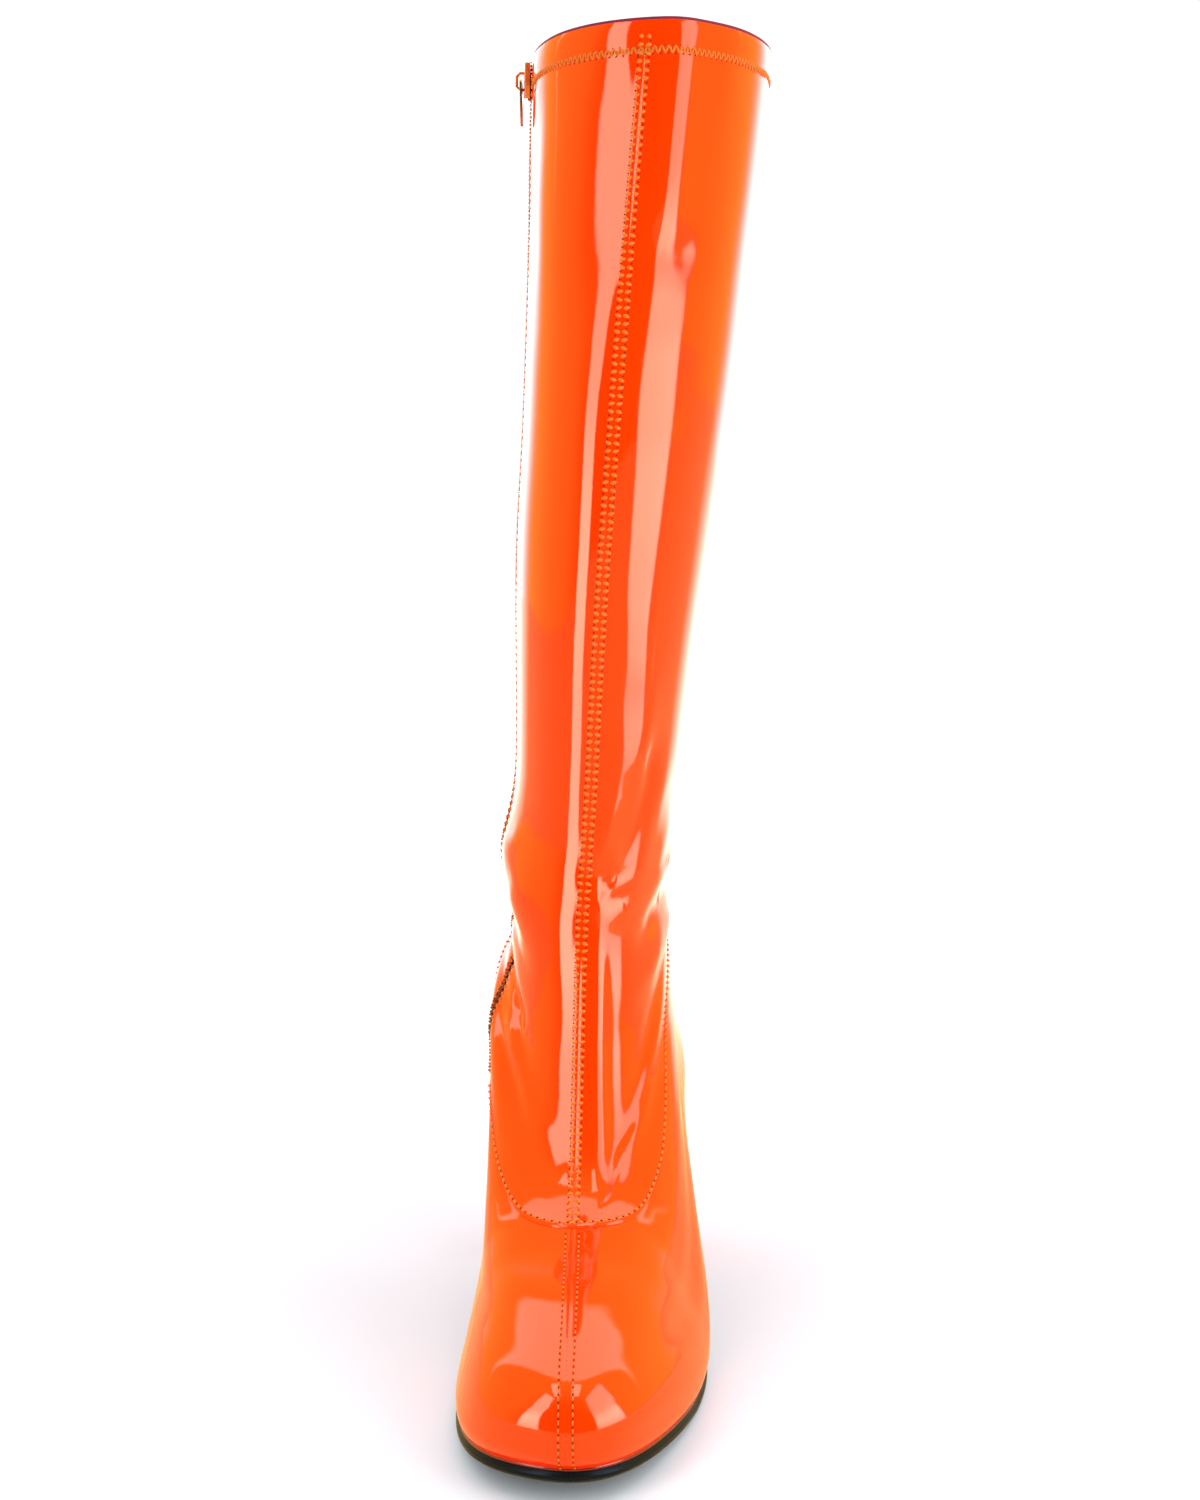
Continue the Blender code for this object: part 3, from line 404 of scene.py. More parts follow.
class Value:
    """A socket that can be added, multiplied and so on in an expression."""

    def __init__(self, tree, socket):
        self.tree = tree
        self.socket = socket

    def math(self, operation, first, second=None):
        node = self.tree.nodes.new("ShaderNodeMath")
        node.operation = operation
        for i, given in enumerate((first, second)):
            if isinstance(given, Value):
                self.tree.links.new(given.socket, node.inputs[i])
            elif given is not None:
                node.inputs[i].default_value = given
        return Value(self.tree, node.outputs[0])

    def __add__(self, other):
        return self.math("ADD", self, other)

    def __sub__(self, other):
        return self.math("SUBTRACT", self, other)

    def __rsub__(self, other):
        return self.math("SUBTRACT", other, self)

    def __mul__(self, other):
        return self.math("MULTIPLY", self, other)

    def __truediv__(self, other):
        return self.math("DIVIDE", self, other)

    __radd__ = __add__
    __rmul__ = __mul__

    def power(self, other):
        return self.math("POWER", self, other)

    def exponent(self):
        return self.math("EXPONENT", self)

    def clamped(self):
        return self.math("MINIMUM", self.math("MAXIMUM", self, 0.0), 1.0)


class Finish:
    """A material with one Principled shader."""

    def __init__(self, name, **constants):
        self.material = bpy.data.materials.new(name)
        self.material.use_nodes = True
        self.tree = self.material.node_tree
        self.shader = self.tree.nodes["Principled BSDF"]
        for socket, value in constants.items():
            self.set(socket.replace("_", " "), value)

    def set(self, socket, value):
        target = self.shader.inputs[socket]
        if isinstance(value, Value):
            self.tree.links.new(value.socket, target)
        elif isinstance(value, tuple) and target.type == "RGBA":
            target.default_value = (*value, 1.0)
        else:
            target.default_value = value

    def node(self, kind, output, settings=(), **inputs):
        made = self.tree.nodes.new(kind)
        for name, value in dict(settings).items():
            setattr(made, name, value)
        for name, value in inputs.items():
            slot = made.inputs[name.replace("_", " ")]
            if isinstance(value, Value):
                self.tree.links.new(value.socket, slot)
            else:
                slot.default_value = value
        return Value(self.tree, made.outputs[output])

    def place(self):
        return self.node("ShaderNodeTexCoord", "Object")

    def noise(self, scale, detail=2.0, roughness=0.5):
        return self.node(
            "ShaderNodeTexNoise", "Fac",
            Vector=self.place(), Scale=scale, Detail=detail, Roughness=roughness,
        )

    def mix(self, factor, first, second):
        node = self.tree.nodes.new("ShaderNodeMix")
        node.data_type = "RGBA"
        for slot, value in ((0, factor), (6, first), (7, second)):
            if isinstance(value, Value):
                self.tree.links.new(value.socket, node.inputs[slot])
            elif slot == 0:
                node.inputs[slot].default_value = value
            else:
                node.inputs[slot].default_value = (*value, 1.0)
        return Value(self.tree, node.outputs[2])

    def bump(self, height, distance):
        self.set("Normal", self.node("ShaderNodeBump", "Normal", Height=height, Distance=distance))


def patent_finish():
    made = Finish("orange_patent", Specular_Tint=(1.0, 0.95, 0.64), Coat_Weight=0.02, Coat_Roughness=0.01)
    cloud = made.noise(9.0, 3.0)
    made.set("Base Color", made.mix(cloud, (0.92, 0.025, 0.0002), (0.97, 0.031, 0.0003)))
    haze = made.noise(60.0, 2.0)
    made.set("Roughness", haze * 0.03 + 0.035)
    made.bump(made.noise(420.0, 2.0) + made.noise(90.0, 1.0) * 2.0, 0.000012)
    return made.material


def lining_finish():
    made = Finish("pale_lining", Sheen_Weight=0.3, Specular_IOR_Level=0.3)
    knit = made.noise(1400.0, 2.0)
    made.set("Base Color", made.mix(knit, (0.24, 0.19, 0.13), (0.34, 0.28, 0.20)))
    made.set("Roughness", knit * 0.15 + 0.78)
    made.bump(knit, 0.00025)
    return made.material


def sole_finish(name, dark, light, low, high):
    made = Finish(name, Specular_IOR_Level=0.10, Specular_Tint=(0.5, 0.72, 1.0))
    grain = made.noise(900.0, 3.0)
    scuff = made.noise(45.0, 4.0, 0.65)
    made.set("Base Color", made.mix(scuff, dark, light))
    made.set("Roughness", scuff * (high - low) + low)
    made.bump(grain, 0.00004)
    return made.material


def thread_finish(name, dark, light, scale=2600.0, specular=0.12, roughness=0.5, relief=0.00006):
    made = Finish(name, Specular_IOR_Level=specular)
    twist = made.noise(scale, 1.0)
    made.set("Base Color", made.mix(twist, dark, light))
    made.set("Roughness", twist * 0.2 + roughness)
    if relief:
        made.bump(twist, relief)
    return made.material


def tape_finish():
    made = Finish("woven_tape", Specular_IOR_Level=0.3)
    weft = made.node(
        "ShaderNodeTexWave", "Fac", {"bands_direction": "Z"},
        Vector=made.place(), Scale=420.0, Distortion=0.6,
    )
    made.set("Base Color", made.mix(weft, (0.20, 0.035, 0.005), (0.36, 0.075, 0.012)))
    made.set("Roughness", weft * 0.15 + 0.65)
    made.bump(weft, 0.0001)
    return made.material


def metal_finish(name, dark, light, metallic, roughness, coat):
    made = Finish(name, Metallic=metallic, Coat_Weight=coat, Coat_Roughness=0.05)
    wear = made.noise(600.0, 3.0, 0.6)
    made.set("Base Color", made.mix(wear, dark, light))
    made.set("Roughness", wear * 0.12 + roughness)
    made.bump(made.noise(1500.0, 2.0), 0.00001)
    return made.material


PATENT = patent_finish()
LINING = lining_finish()
SOLE = sole_finish("black_sole", (0.003, 0.003, 0.0035), (0.008, 0.008, 0.009), 0.22, 0.34)
LIFT = sole_finish("black_lift", (0.012, 0.012, 0.012), (0.030, 0.029, 0.028), 0.5, 0.7)
THREAD = thread_finish("golden_thread", (0.46, 0.10, 0.008), (0.60, 0.17, 0.020))
PALE_THREAD = thread_finish("orange_thread", (0.46, 0.095, 0.008), (0.56, 0.14, 0.015))
# Dark red copy of the patent at the needle holes: painted shade of the holes
HOLE_SHADE = thread_finish("needle_hole", (0.09, 0.003, 0.001), (0.16, 0.006, 0.001), 700.0, 0.2, 0.6, 0.0)
CUT_EDGE = thread_finish("cut_edge", (0.10, 0.008, 0.022), (0.18, 0.014, 0.032))
# Dark red copy of the patent along the feather line: painted shade of the gap between upper and sole
FEATHER_SHADE = metal_finish("feather_edge", (0.10, 0.003, 0.002), (0.22, 0.006, 0.002), 0.0, 0.10, 0.0)
TAPE = tape_finish()
COIL = thread_finish("zip_coil", (0.13, 0.026, 0.006), (0.24, 0.055, 0.010))
LACQUER = metal_finish("lacquered_metal", (0.55, 0.085, 0.012), (0.85, 0.19, 0.03), 0.45, 0.12, 0.9)
COPPER = metal_finish("copper_brown_metal", (0.30, 0.10, 0.045), (0.46, 0.18, 0.08), 1.0, 0.16, 0.3)
# Dark red copy of the patent: painted shade in the vamp seam's groove
SEAM_SHADE = thread_finish("seam_shadow", (0.14, 0.004, 0.003), (0.22, 0.010, 0.004))


# Modelling helpers


def only(made):
    bpy.ops.object.select_all(action="DESELECT")
    made.select_set(True)
    bpy.context.view_layer.objects.active = made


def named(made, name, *materials):
    made.name = name
    made.data.name = name
    made.data.materials.clear()
    for material in materials:
        made.data.materials.append(material)
    return made


def sheet(name, points, *materials):
    """A grid primitive laid over rows of points. points: rows x columns x 3."""
    rows, columns = points.shape[:2]
    bpy.ops.mesh.primitive_grid_add(x_subdivisions=columns - 1, y_subdivisions=rows - 1, size=1.0)
    made = bpy.context.object
    made.data.vertices.foreach_set("co", points.reshape(-1).astype(np.float32))
    made.data.update()
    return named(made, name, *materials)


def smooth(made, degrees):
    """Smooth shading that keeps edges over this many degrees sharp."""
    made.data.shade_smooth()
    made.data.set_sharp_from_angle(angle=math.radians(degrees))


def apply_modifier(made, kind, **settings):
    only(made)
    modifier = made.modifiers.new(kind.lower(), kind)
    for name, value in settings.items():
        setattr(modifier, name, value)
    bpy.ops.object.modifier_apply(modifier=modifier.name)


def edit(made, *steps):
    """Runs edit-mode steps on the whole piece, each an operator and its settings."""
    only(made)
    bpy.ops.object.mode_set(mode="EDIT")
    bpy.ops.mesh.select_all(action="SELECT")
    for operator, settings in steps:
        operator(**settings)
    bpy.ops.object.mode_set(mode="OBJECT")


def closed_skin(made, inner_material, rim_material=0):
    """Gives a sheet its wall inwards, with the inside in its own material."""
    apply_modifier(
        made, "SOLIDIFY", thickness=WALL, offset=-1.0, use_even_offset=False,
        use_quality_normals=True, material_offset=inner_material, material_offset_rim=rim_material,
    )
    edit(made, (bpy.ops.mesh.remove_doubles, {"threshold": 1e-6}))
    smooth(made, 50)


def crowded(*runs):
    """Places from runs of (start, end, steps), joined end to end."""
    places = [runs[0][0]]
    for start, end, steps in runs:
        places += [start + (end - start) * (i + 1) / steps for i in range(steps)]
    return np.array(places)


def scatter(name, source, origins, sideways, ahead, outwards, material):
    """One piece from copies of a small source mesh, each turned to its own axes."""
    base = np.empty(len(source.data.vertices) * 3)
    source.data.vertices.foreach_get("co", base)
    base = base.reshape(-1, 3)
    faces = [tuple(face.vertices) for face in source.data.polygons]
    axes = np.stack([sideways, ahead, outwards], axis=1)
    points = origins[:, None, :] + np.einsum("vk,nkc->nvc", base, axes)
    count = len(base)
    mesh = bpy.data.meshes.new(name)
    all_faces = [tuple(i * count + v for v in face) for i in range(len(origins)) for face in faces]
    mesh.from_pydata(points.reshape(-1, 3), [], all_faces)
    mesh.shade_smooth()
    mesh.materials.append(material)
    made = bpy.data.objects.new(name, mesh)
    bpy.context.scene.collection.objects.link(made)
    return made


def stitch_source(length, thick, tall):
    """One stitch: a rounded thread that dives into the skin at both ends."""
    bpy.ops.mesh.primitive_cylinder_add(vertices=6, radius=0.5, depth=1.0, rotation=(math.pi / 2, 0, 0))
    made = bpy.context.object
    bpy.ops.object.transform_apply(location=True, rotation=True, scale=True)
    edit(made, (bpy.ops.mesh.subdivide, {"number_cuts": 1}))
    edit(made, (bpy.ops.mesh.tris_convert_to_quads, {}))
    for vertex in made.data.vertices:
        x, y, z = vertex.co
        end = math.sqrt(max(0.0, 1 - (2 * y) ** 2)) * 0.75 + 0.25
        vertex.co = (x * thick * end, y * length, z * tall * end - tall * 0.8 * (2 * y) ** 2)
    return made


def hole_source(radius):
    """A shallow dark cup at a needle hole: painted shade of the hole."""
    bpy.ops.mesh.primitive_uv_sphere_add(segments=8, ring_count=4, radius=1.0)
    made = bpy.context.object
    for vertex in made.data.vertices:
        vertex.co = (vertex.co.x * radius, vertex.co.y * radius, vertex.co.z * radius * 0.22)
    return made


def seam_places(rings, angles, lift, pitch):
    """Even places along a line on the skin: origins and their axes."""
    line = skin(rings, angles) + lift * normals(skin, rings, angles)
    step = np.linalg.norm(np.diff(line, axis=0), axis=1)
    reach = np.concatenate([[0.0], np.cumsum(step)])
    count = int(reach[-1] / pitch)
    at = (np.arange(count) + 0.5) * reach[-1] / count
    ring = np.interp(at, reach, rings)
    angle = np.interp(at, reach, angles)
    out = normals(skin, ring, angle)
    origin = skin(ring, angle) + lift * out

    def on_line(at):
        return np.stack([np.interp(at, reach, line[:, i]) for i in range(3)], 1)

    ahead = on_line(at + 1e-4) - on_line(at - 1e-4)
    ahead -= (ahead * out).sum(1, keepdims=True) * out
    ahead /= np.linalg.norm(ahead, axis=1, keepdims=True)
    return origin, np.cross(ahead, out), ahead, out


def stitch_row(name, rings, angles, pitch, source, material, aside=0.0, lift=0.0, slant=0.0, shift=0.0):
    """Stitches along a line. aside: metres to the side. slant: turned by this many degrees, to and fro."""
    origin, side, ahead, out = seam_places(rings, angles, lift, pitch)
    turn = np.radians(slant) * np.where(np.arange(len(origin)) % 2 == 0, 1.0, -1.0)
    cos, sin = np.cos(turn)[:, None], np.sin(turn)[:, None]
    origin = origin + aside * side + shift * ahead
    return scatter(
        name, source, origin, side * cos - ahead * sin, ahead * cos + side * sin, out, material
    )


# Upper


def upper_columns(start, end):
    """Angles of the skin's columns, close together at the zip, the front seam and the back seam."""
    degrees = crowded(
        (start, start + 5, 8), (start + 5, -7, 62), (-7, 7, 40), (7, 90, 70), (90, 172, 38), (172, 188, 18),
        (188, end - 5, 34), (end - 5, end, 8),
    )
    return np.radians(degrees)


def raised(ring, angle, points, facing):
    """Skin points with the front and back seams and the hem worked in."""
    relief = seam_relief(ring, angle, 0.0, points) + seam_relief(ring, angle, math.pi, points)
    height = BOOT_HEIGHT - points[..., 2]
    hem = -0.00030 * bump_at(height - HEM_DEPTH, 0.0011) + 0.00018 * bump_at(height - HEM_DEPTH / 2, 0.004)
    return points + (relief + hem)[..., None] * facing


def zip_reach(ring):
    """Metres of skin per radian at the zip."""
    centre = math.radians(ZIP_ANGLE)
    step = 1e-3
    gap = skin(ring, centre + step) - skin(ring, centre - step)
    return np.linalg.norm(gap, axis=-1) / (2 * step)


def make_shaft():
    start, end = ZIP_ANGLE + 2, ZIP_ANGLE + 358
    angles = upper_columns(start, end)
    # Rows are shares of the way from the lap line to the collar
    rows = crowded(
        (0.0, 0.008, 3), (0.008, 0.56, 112), (0.56, 0.955, 44), (0.955, 0.9955, 10), (0.9955, 1.0, 3),
    )
    base = lap_ring(angles)[None, :]
    ring = base + rows[:, None] * (COLLAR - base)
    # The lips keep their distance, however wide the shaft is
    lip_ring = base[:, :1] + rows[:, None] * (COLLAR - base[:, :1])
    half = SLIT / 2 / zip_reach(lip_ring)
    to_start = np.clip((angles - angles[0]) / math.radians(20), 0, 1)
    to_end = np.clip((angles[-1] - angles) / math.radians(20), 0, 1)
    angle = angles[None, :] + (half - math.radians(2)) * ((1 - to_start) ** 2 - (1 - to_end) ** 2)[None, :]
    points = skin(ring, angle)
    facing = normals(skin, ring, angle)
    edge = 1 - np.exp(-((rows / 0.0035) ** 2))
    points = raised(ring, angle, points, facing) + (LAP * edge[:, None, None]) * facing
    # The collar's rim rolls over, and so do the slit's lips
    rim = np.clip((rows - 0.994) / 0.006, 0, 1)[:, None, None]
    points = points - facing * (WALL * 0.35 * rim**2)
    column = np.arange(len(angles))
    lip = np.minimum(column, len(angles) - 1 - column)
    points = points - facing * (0.0006 * np.exp(-((lip / 2.2) ** 2)))[None, :, None]
    made = sheet("shaft_patent", points, PATENT, LINING, CUT_EDGE)
    closed_skin(made, 1, 2)
    # The hem is turned in, so patent shows inside the collar
    for face in made.data.polygons:
        if face.material_index == 1 and face.center.z > BOOT_HEIGHT - HEM_DEPTH - 0.004:
            face.material_index = 0
        elif face.material_index == 0 and face.center.z > BOOT_HEIGHT - COLLAR_LINE:
            face.material_index = 2
    return made


def make_vamp():
    degrees = crowded((-180, -172, 14), (-172, -7, 100), (-7, 7, 44), (7, 172, 100), (172, 180, 14))
    angles = np.radians(degrees)
    rows = crowded((0.0, 0.30, 34), (0.30, 1.0, 62))
    top = lap_ring(angles)[None, :] + 0.10
    ring = rows[:, None] * top
    angle = np.broadcast_to(angles, ring.shape)
    points = skin(ring, angle)
    facing = normals(skin, ring, angle)
    relief = seam_relief(ring, angle, 0.0, points) + seam_relief(ring, angle, math.pi, points)
    # The skin tucks under the shaft, where it would show through
    tuck = 0.0004 * np.clip((rows - 0.975) / 0.02, 0, 1)[:, None]
    points = points + (relief - tuck)[..., None] * facing
    foot = points[0]
    inward = -facing[0] * np.array([1.0, 1.0, 0.0])
    inward /= np.linalg.norm(inward, axis=1, keepdims=True)
    # Two more rows turn in under the last
    under = [foot + inward * reach - (0.0, 0.0, drop) for reach, drop in ((0.004, 0.0001), (0.0012, 0.0002))]
    points = np.concatenate([under, points])
    made = sheet("vamp_patent", points, PATENT, LINING)
    edit(made, (bpy.ops.mesh.remove_doubles, {"threshold": 1e-5}))
    closed_skin(made, 1)
    return made


shaft = make_shaft()
vamp = make_vamp()

# Stitches, and the painted shade of the needle holes
fine_stitch = stitch_source(0.0032, 0.00150, 0.00090)
bold_stitch = stitch_source(0.0028, 0.00130, 0.00100)
tiny_stitch = stitch_source(0.0016, 0.00075, 0.00050)
hem_stitch = stitch_source(0.0050, 0.00100, 0.00070)
pinhole = hole_source(0.00036)
large_pinhole = hole_source(0.00046)

seams = []


def seam(*given, **settings):
    seams.append(stitch_row(*given, **settings))


shaft_rows = np.linspace(5.98, 14.93, 400)
for side, mark in ((-1, "inner"), (1, "outer")):
    seam(f"front_seam_stitches_{mark}", shaft_rows, np.zeros(400), SEAM_PITCH, fine_stitch, THREAD,
         aside=side * 0.00130, lift=LAP + 0.00024, slant=72)
    seam(f"front_seam_holes_{mark}", shaft_rows, np.zeros(400), SEAM_PITCH, pinhole, HOLE_SHADE,
         aside=side * 0.0019, lift=LAP + 0.00012, shift=SEAM_PITCH / 2)
seam("front_seam_thread_holes", shaft_rows, np.zeros(400), SEAM_PITCH, pinhole, HOLE_SHADE, lift=LAP - 0.00010)
back_rows = np.linspace(7.6, 14.93, 400)
for side, mark in ((-1, "inner"), (1, "outer")):
    seam(f"back_seam_stitches_{mark}", back_rows, np.full(400, math.pi), SEAM_PITCH, fine_stitch, THREAD,
         aside=side * 0.00125, lift=LAP + 0.00022, slant=76)
vamp_rows = np.linspace(0.12, 5.80, 300)
for side, mark in ((-1, "inner"), (1, "outer")):
    seam(f"vamp_seam_stitches_{mark}", vamp_rows, np.zeros(300), VAMP_PITCH, tiny_stitch, THREAD,
         aside=side * 0.00225, lift=0.00022)
    seam(f"vamp_seam_holes_{mark}", vamp_rows, np.zeros(300), VAMP_PITCH, pinhole, HOLE_SHADE,
         aside=side * 0.00225, lift=0.00020, shift=VAMP_PITCH / 2)
# A row of dark red marks sunk in the vamp seam's centre: painted shade of the seam's groove
seam("vamp_seam_thread", vamp_rows, np.zeros(300), 0.0018, tiny_stitch, SEAM_SHADE, lift=-0.00016)
counter_rows = np.linspace(0.12, 7.40, 300)
for side, mark in ((-1, "inner"), (1, "outer")):
    seam(f"counter_seam_stitches_{mark}", counter_rows, np.full(300, math.pi), VAMP_PITCH,
         tiny_stitch, THREAD, aside=side * 0.00225, lift=0.00022)
lap_angles = np.radians(np.linspace(ZIP_ANGLE + 4, ZIP_ANGLE + 356, 900))
lap_rows = lap_ring(lap_angles) + 0.085
seam("lap_seam_stitches", lap_rows, lap_angles, LAP_PITCH, bold_stitch, THREAD,
     lift=LAP + 0.00022, slant=-9)
seam("lap_seam_holes", lap_rows, lap_angles, LAP_PITCH, large_pinhole, HOLE_SHADE,
     lift=LAP + 0.00004, shift=LAP_PITCH / 2)
hem_angles = np.radians(np.linspace(ZIP_ANGLE + 6, ZIP_ANGLE + 354, 900))
top_ring_height = RINGS["front_z"][-1] - RINGS["front_z"][-2]
hem_ring = np.full(900, COLLAR - HEM_DEPTH / top_ring_height)
seam("hem_zigzag", hem_ring, hem_angles, HEM_PITCH, hem_stitch, PALE_THREAD, lift=LAP + 0.00005, slant=66)
for shift, mark in ((-0.0014, "lower"), (0.0014, "upper")):
    seam(f"hem_holes_{mark}", hem_ring + shift / top_ring_height, hem_angles, 0.0026, pinhole, HOLE_SHADE,
         lift=LAP - 0.00010, shift=shift * 0.46)

# Zip


def zip_rows(count):
    low = float(lap_ring(math.radians(ZIP_ANGLE))) + 0.10
    return np.linspace(low, COLLAR - 0.02, count)


def zip_strip(name, across, depth, thickness, material):
    """A strip along the zip. across: metres to the side for each column, depth: metres in from the skin."""
    ring = zip_rows(220)
    columns = []
    for reach, sunk in zip(across, depth):
        angle = math.radians(ZIP_ANGLE) + reach / zip_reach(ring)
        columns.append(skin(ring, angle) - sunk * normals(skin, ring, angle))
    points = np.stack(columns, axis=1)
    made = sheet(name, points, material)
    apply_modifier(made, "SOLIDIFY", thickness=thickness, offset=0.0)
    smooth(made, 45)
    return made


tape = zip_strip(
    "zip_tape", (-0.0098, -0.006, -0.0028, 0.0, 0.0028, 0.006, 0.0098),
    (0.0021, 0.0021, 0.0010, 0.0006, 0.0010, 0.0021, 0.0021), 0.0006, TAPE,
)
zip_line = zip_rows(600)
zip_angles = np.full(600, math.radians(ZIP_ANGLE))
tooth = stitch_source(0.0010, 0.0021, 0.0014)
teeth = []
for side, mark in ((-1, "front"), (1, "back")):
    teeth.append(stitch_row(
        f"zip_teeth_{mark}", zip_line, zip_angles, TEETH_PITCH, tooth, COIL,
        aside=side * 0.00070, lift=0.0007, shift=side * 0.00035,
    ))
for reach, mark in ((0.0045, "front"), (-0.0045, "back")):
    ring = np.linspace(5.7, 14.9, 400)
    angle = math.radians(ZIP_ANGLE) + reach / zip_reach(ring)
    seam(f"zip_edge_stitches_{mark}", ring, angle, SEAM_PITCH, fine_stitch, THREAD, lift=LAP + 0.0001)


# Sole, heel and top piece


def plan_inset(points, inset):
    """Closed outline in plan, moved inwards. The outline runs anticlockwise."""
    ahead = np.roll(points, -1, axis=0) - np.roll(points, 1, axis=0)
    inwards = np.stack([-ahead[:, 1], ahead[:, 0]], axis=1)
    inwards /= np.linalg.norm(inwards, axis=1, keepdims=True)
    return points[:, :2] + inwards * inset


def feather_outline(grown, samples=1440):
    angles = np.linspace(-math.pi, math.pi, samples, endpoint=False)
    return plan_inset(smooth_surface(0.0, angles), -grown)


def station_sides(outline, shares):
    """Where an outline crosses each station: along, x on the inner side, x on the outer side."""
    along = HEEL_CENTRE - outline[:, 1]
    back, front = along.min(), along.max()
    stations = back + (front - back) * shares
    sides = []
    chord = np.interp(along, (back, front), (outline[np.argmin(along), 0], outline[np.argmax(along), 0]))
    for keep in (outline[:, 0] <= chord, outline[:, 0] >= chord):
        order = np.argsort(along[keep])
        sides.append(np.interp(stations, along[keep][order], outline[keep, 0][order]))
    return stations, sides[0], sides[1]


def loft(name, loops, material):
    """A tube of closed loops, capped at both ends. loops: loops x points x 3."""
    closed = np.concatenate([loops, loops[:, :1]], axis=1)
    made = sheet(name, closed, material)
    edit(
        made,
        (bpy.ops.mesh.remove_doubles, {"threshold": 1e-6}),
        (bpy.ops.mesh.select_all, {"action": "DESELECT"}),
        (bpy.ops.mesh.select_non_manifold, {}),
        (bpy.ops.mesh.edge_face_add, {}),
        (bpy.ops.mesh.select_all, {"action": "SELECT"}),
        (bpy.ops.mesh.normals_make_consistent, {"inside": False}),
    )
    return made


def make_sole():
    """Loops from heel to toe, each round the sole's section: top, bevel, side, bevel, tread."""
    shares = (1 - np.cos(np.linspace(SOLE_END, 1 - SOLE_END, 200) * math.pi)) / 2
    profile = (
        (-0.0030, SOLE_THICKNESS + 0.0001), (SOLE_EDGE - 0.0012, SOLE_THICKNESS + 0.0001),
        (SOLE_EDGE - 0.0009, SOLE_THICKNESS - 0.0001), (SOLE_EDGE - 0.0003, SOLE_THICKNESS - 0.0009),
        (SOLE_EDGE, SOLE_THICKNESS - 0.0014), (SOLE_EDGE, 0.0013), (SOLE_EDGE - 0.0003, 0.0008),
        (SOLE_EDGE - 0.0013, 0.0), (-0.006, 0.0),
    )
    inner, outer = [], []
    for grown, height in profile:
        along, left, right = station_sides(feather_outline(grown), shares)
        level = underside(along) + height
        inner.append(np.column_stack([left, HEEL_CENTRE - along, level]))
        outer.append(np.column_stack([right, HEEL_CENTRE - along, level]))
    loops = np.stack(outer + inner[::-1], axis=1)
    made = loft("sole_unit", loops, SOLE)
    smooth(made, 28)
    return made


def heel_plan(taper, grown):
    outline = feather_outline(grown)
    along_all = HEEL_CENTRE - outline[:, 1]
    back = float(along_all.min())
    length = float(along_all.max()) - back
    turn = np.linspace(0.012, 0.5, 48) * math.pi
    shares = (1 - np.cos(turn)) * HEEL_TOP_LENGTH / length
    along, inner, outer = station_sides(outline, shares)
    on_base = back + HEEL_BASE_SET + (along - back) / HEEL_TOP_LENGTH * HEEL_BASE_LENGTH
    scale = 1 - HEEL_BASE_TAPER / float((outer - inner).max()) * taper
    middle = (inner + outer) / 2 * (1 - taper)
    half = (outer - inner) / 2 * scale
    return along + (on_base - along) * taper, middle - half, middle + half


def heel_loops(levels):
    """Closed loops of the heel's plan, one for each (taper, height function, inset)."""
    grown = SOLE_EDGE - 2 * SOLE_BEVEL
    loops = []
    seat = heel_plan(0.0, grown)[0]
    for taper, height, inset in levels:
        along, inner, outer = heel_plan(taper, grown - inset)
        z = height(seat)
        y = HEEL_CENTRE - along
        loops.append(np.concatenate([np.column_stack([inner, y, z]), np.column_stack([outer, y, z])[::-1]]))
    return np.stack(loops)


def make_heel():
    base = LIFT_THICKNESS + 0.0003
    taper_knots, taper_values = (0.0, 0.25, 0.55, 0.80, 1.0), (0.0, 0.42, 0.78, 0.94, 1.0)
    levels = []
    for down in crowded((0.0, 0.01, 2), (0.01, 0.985, 40), (0.985, 1.0, 3)):
        taper = float(monotone(taper_knots, taper_values, down))
        round_off = 0.0004 * (max(0.0, 1 - down / 0.01) ** 2 + max(0.0, (down - 0.985) / 0.015) ** 2)

        def height(seat, down=down):
            top = underside(seat) - 0.0003
            return top + (base - top) * down

        levels.append((taper, height, round_off))
    made = loft("heel_cover", heel_loops(levels), PATENT)
    smooth(made, 40)
    return made


def make_lift():
    levels = [
        (1.0, lambda seat, z=z: seat * 0 + z, inset)
        for z, inset in ((0.006, 0.0003), (0.0056, 0.0), (0.0005, 0.0), (0.0, 0.0004))
    ]
    made = loft("top_piece", heel_loops(levels), LIFT)
    smooth(made, 30)
    return made


def make_feather_shade_strip():
    """A glossy dark red strip between upper and sole: painted shade of the gap there."""
    rows = []
    for grown, height in ((-0.0004, 0.0020), (0.0005, 0.0010), (0.0009, 0.0003), (0.0002, -0.0003)):
        outline = feather_outline(grown, 480)
        along = HEEL_CENTRE - outline[:, 1]
        rows.append(np.column_stack([outline, underside(along) + SOLE_THICKNESS + height]))
    rows = np.stack(rows)[::-1]
    made = sheet("feather_line", np.concatenate([rows, rows[:, :1]], axis=1), FEATHER_SHADE)
    edit(
        made, (bpy.ops.mesh.remove_doubles, {"threshold": 1e-7}),
        (bpy.ops.mesh.normals_make_consistent, {"inside": False}),
    )
    made.data.shade_smooth()
    return made


feather_line = make_feather_shade_strip()
sole = make_sole()
heel = make_heel()
lift_piece = make_lift()


# Slider and pull tab


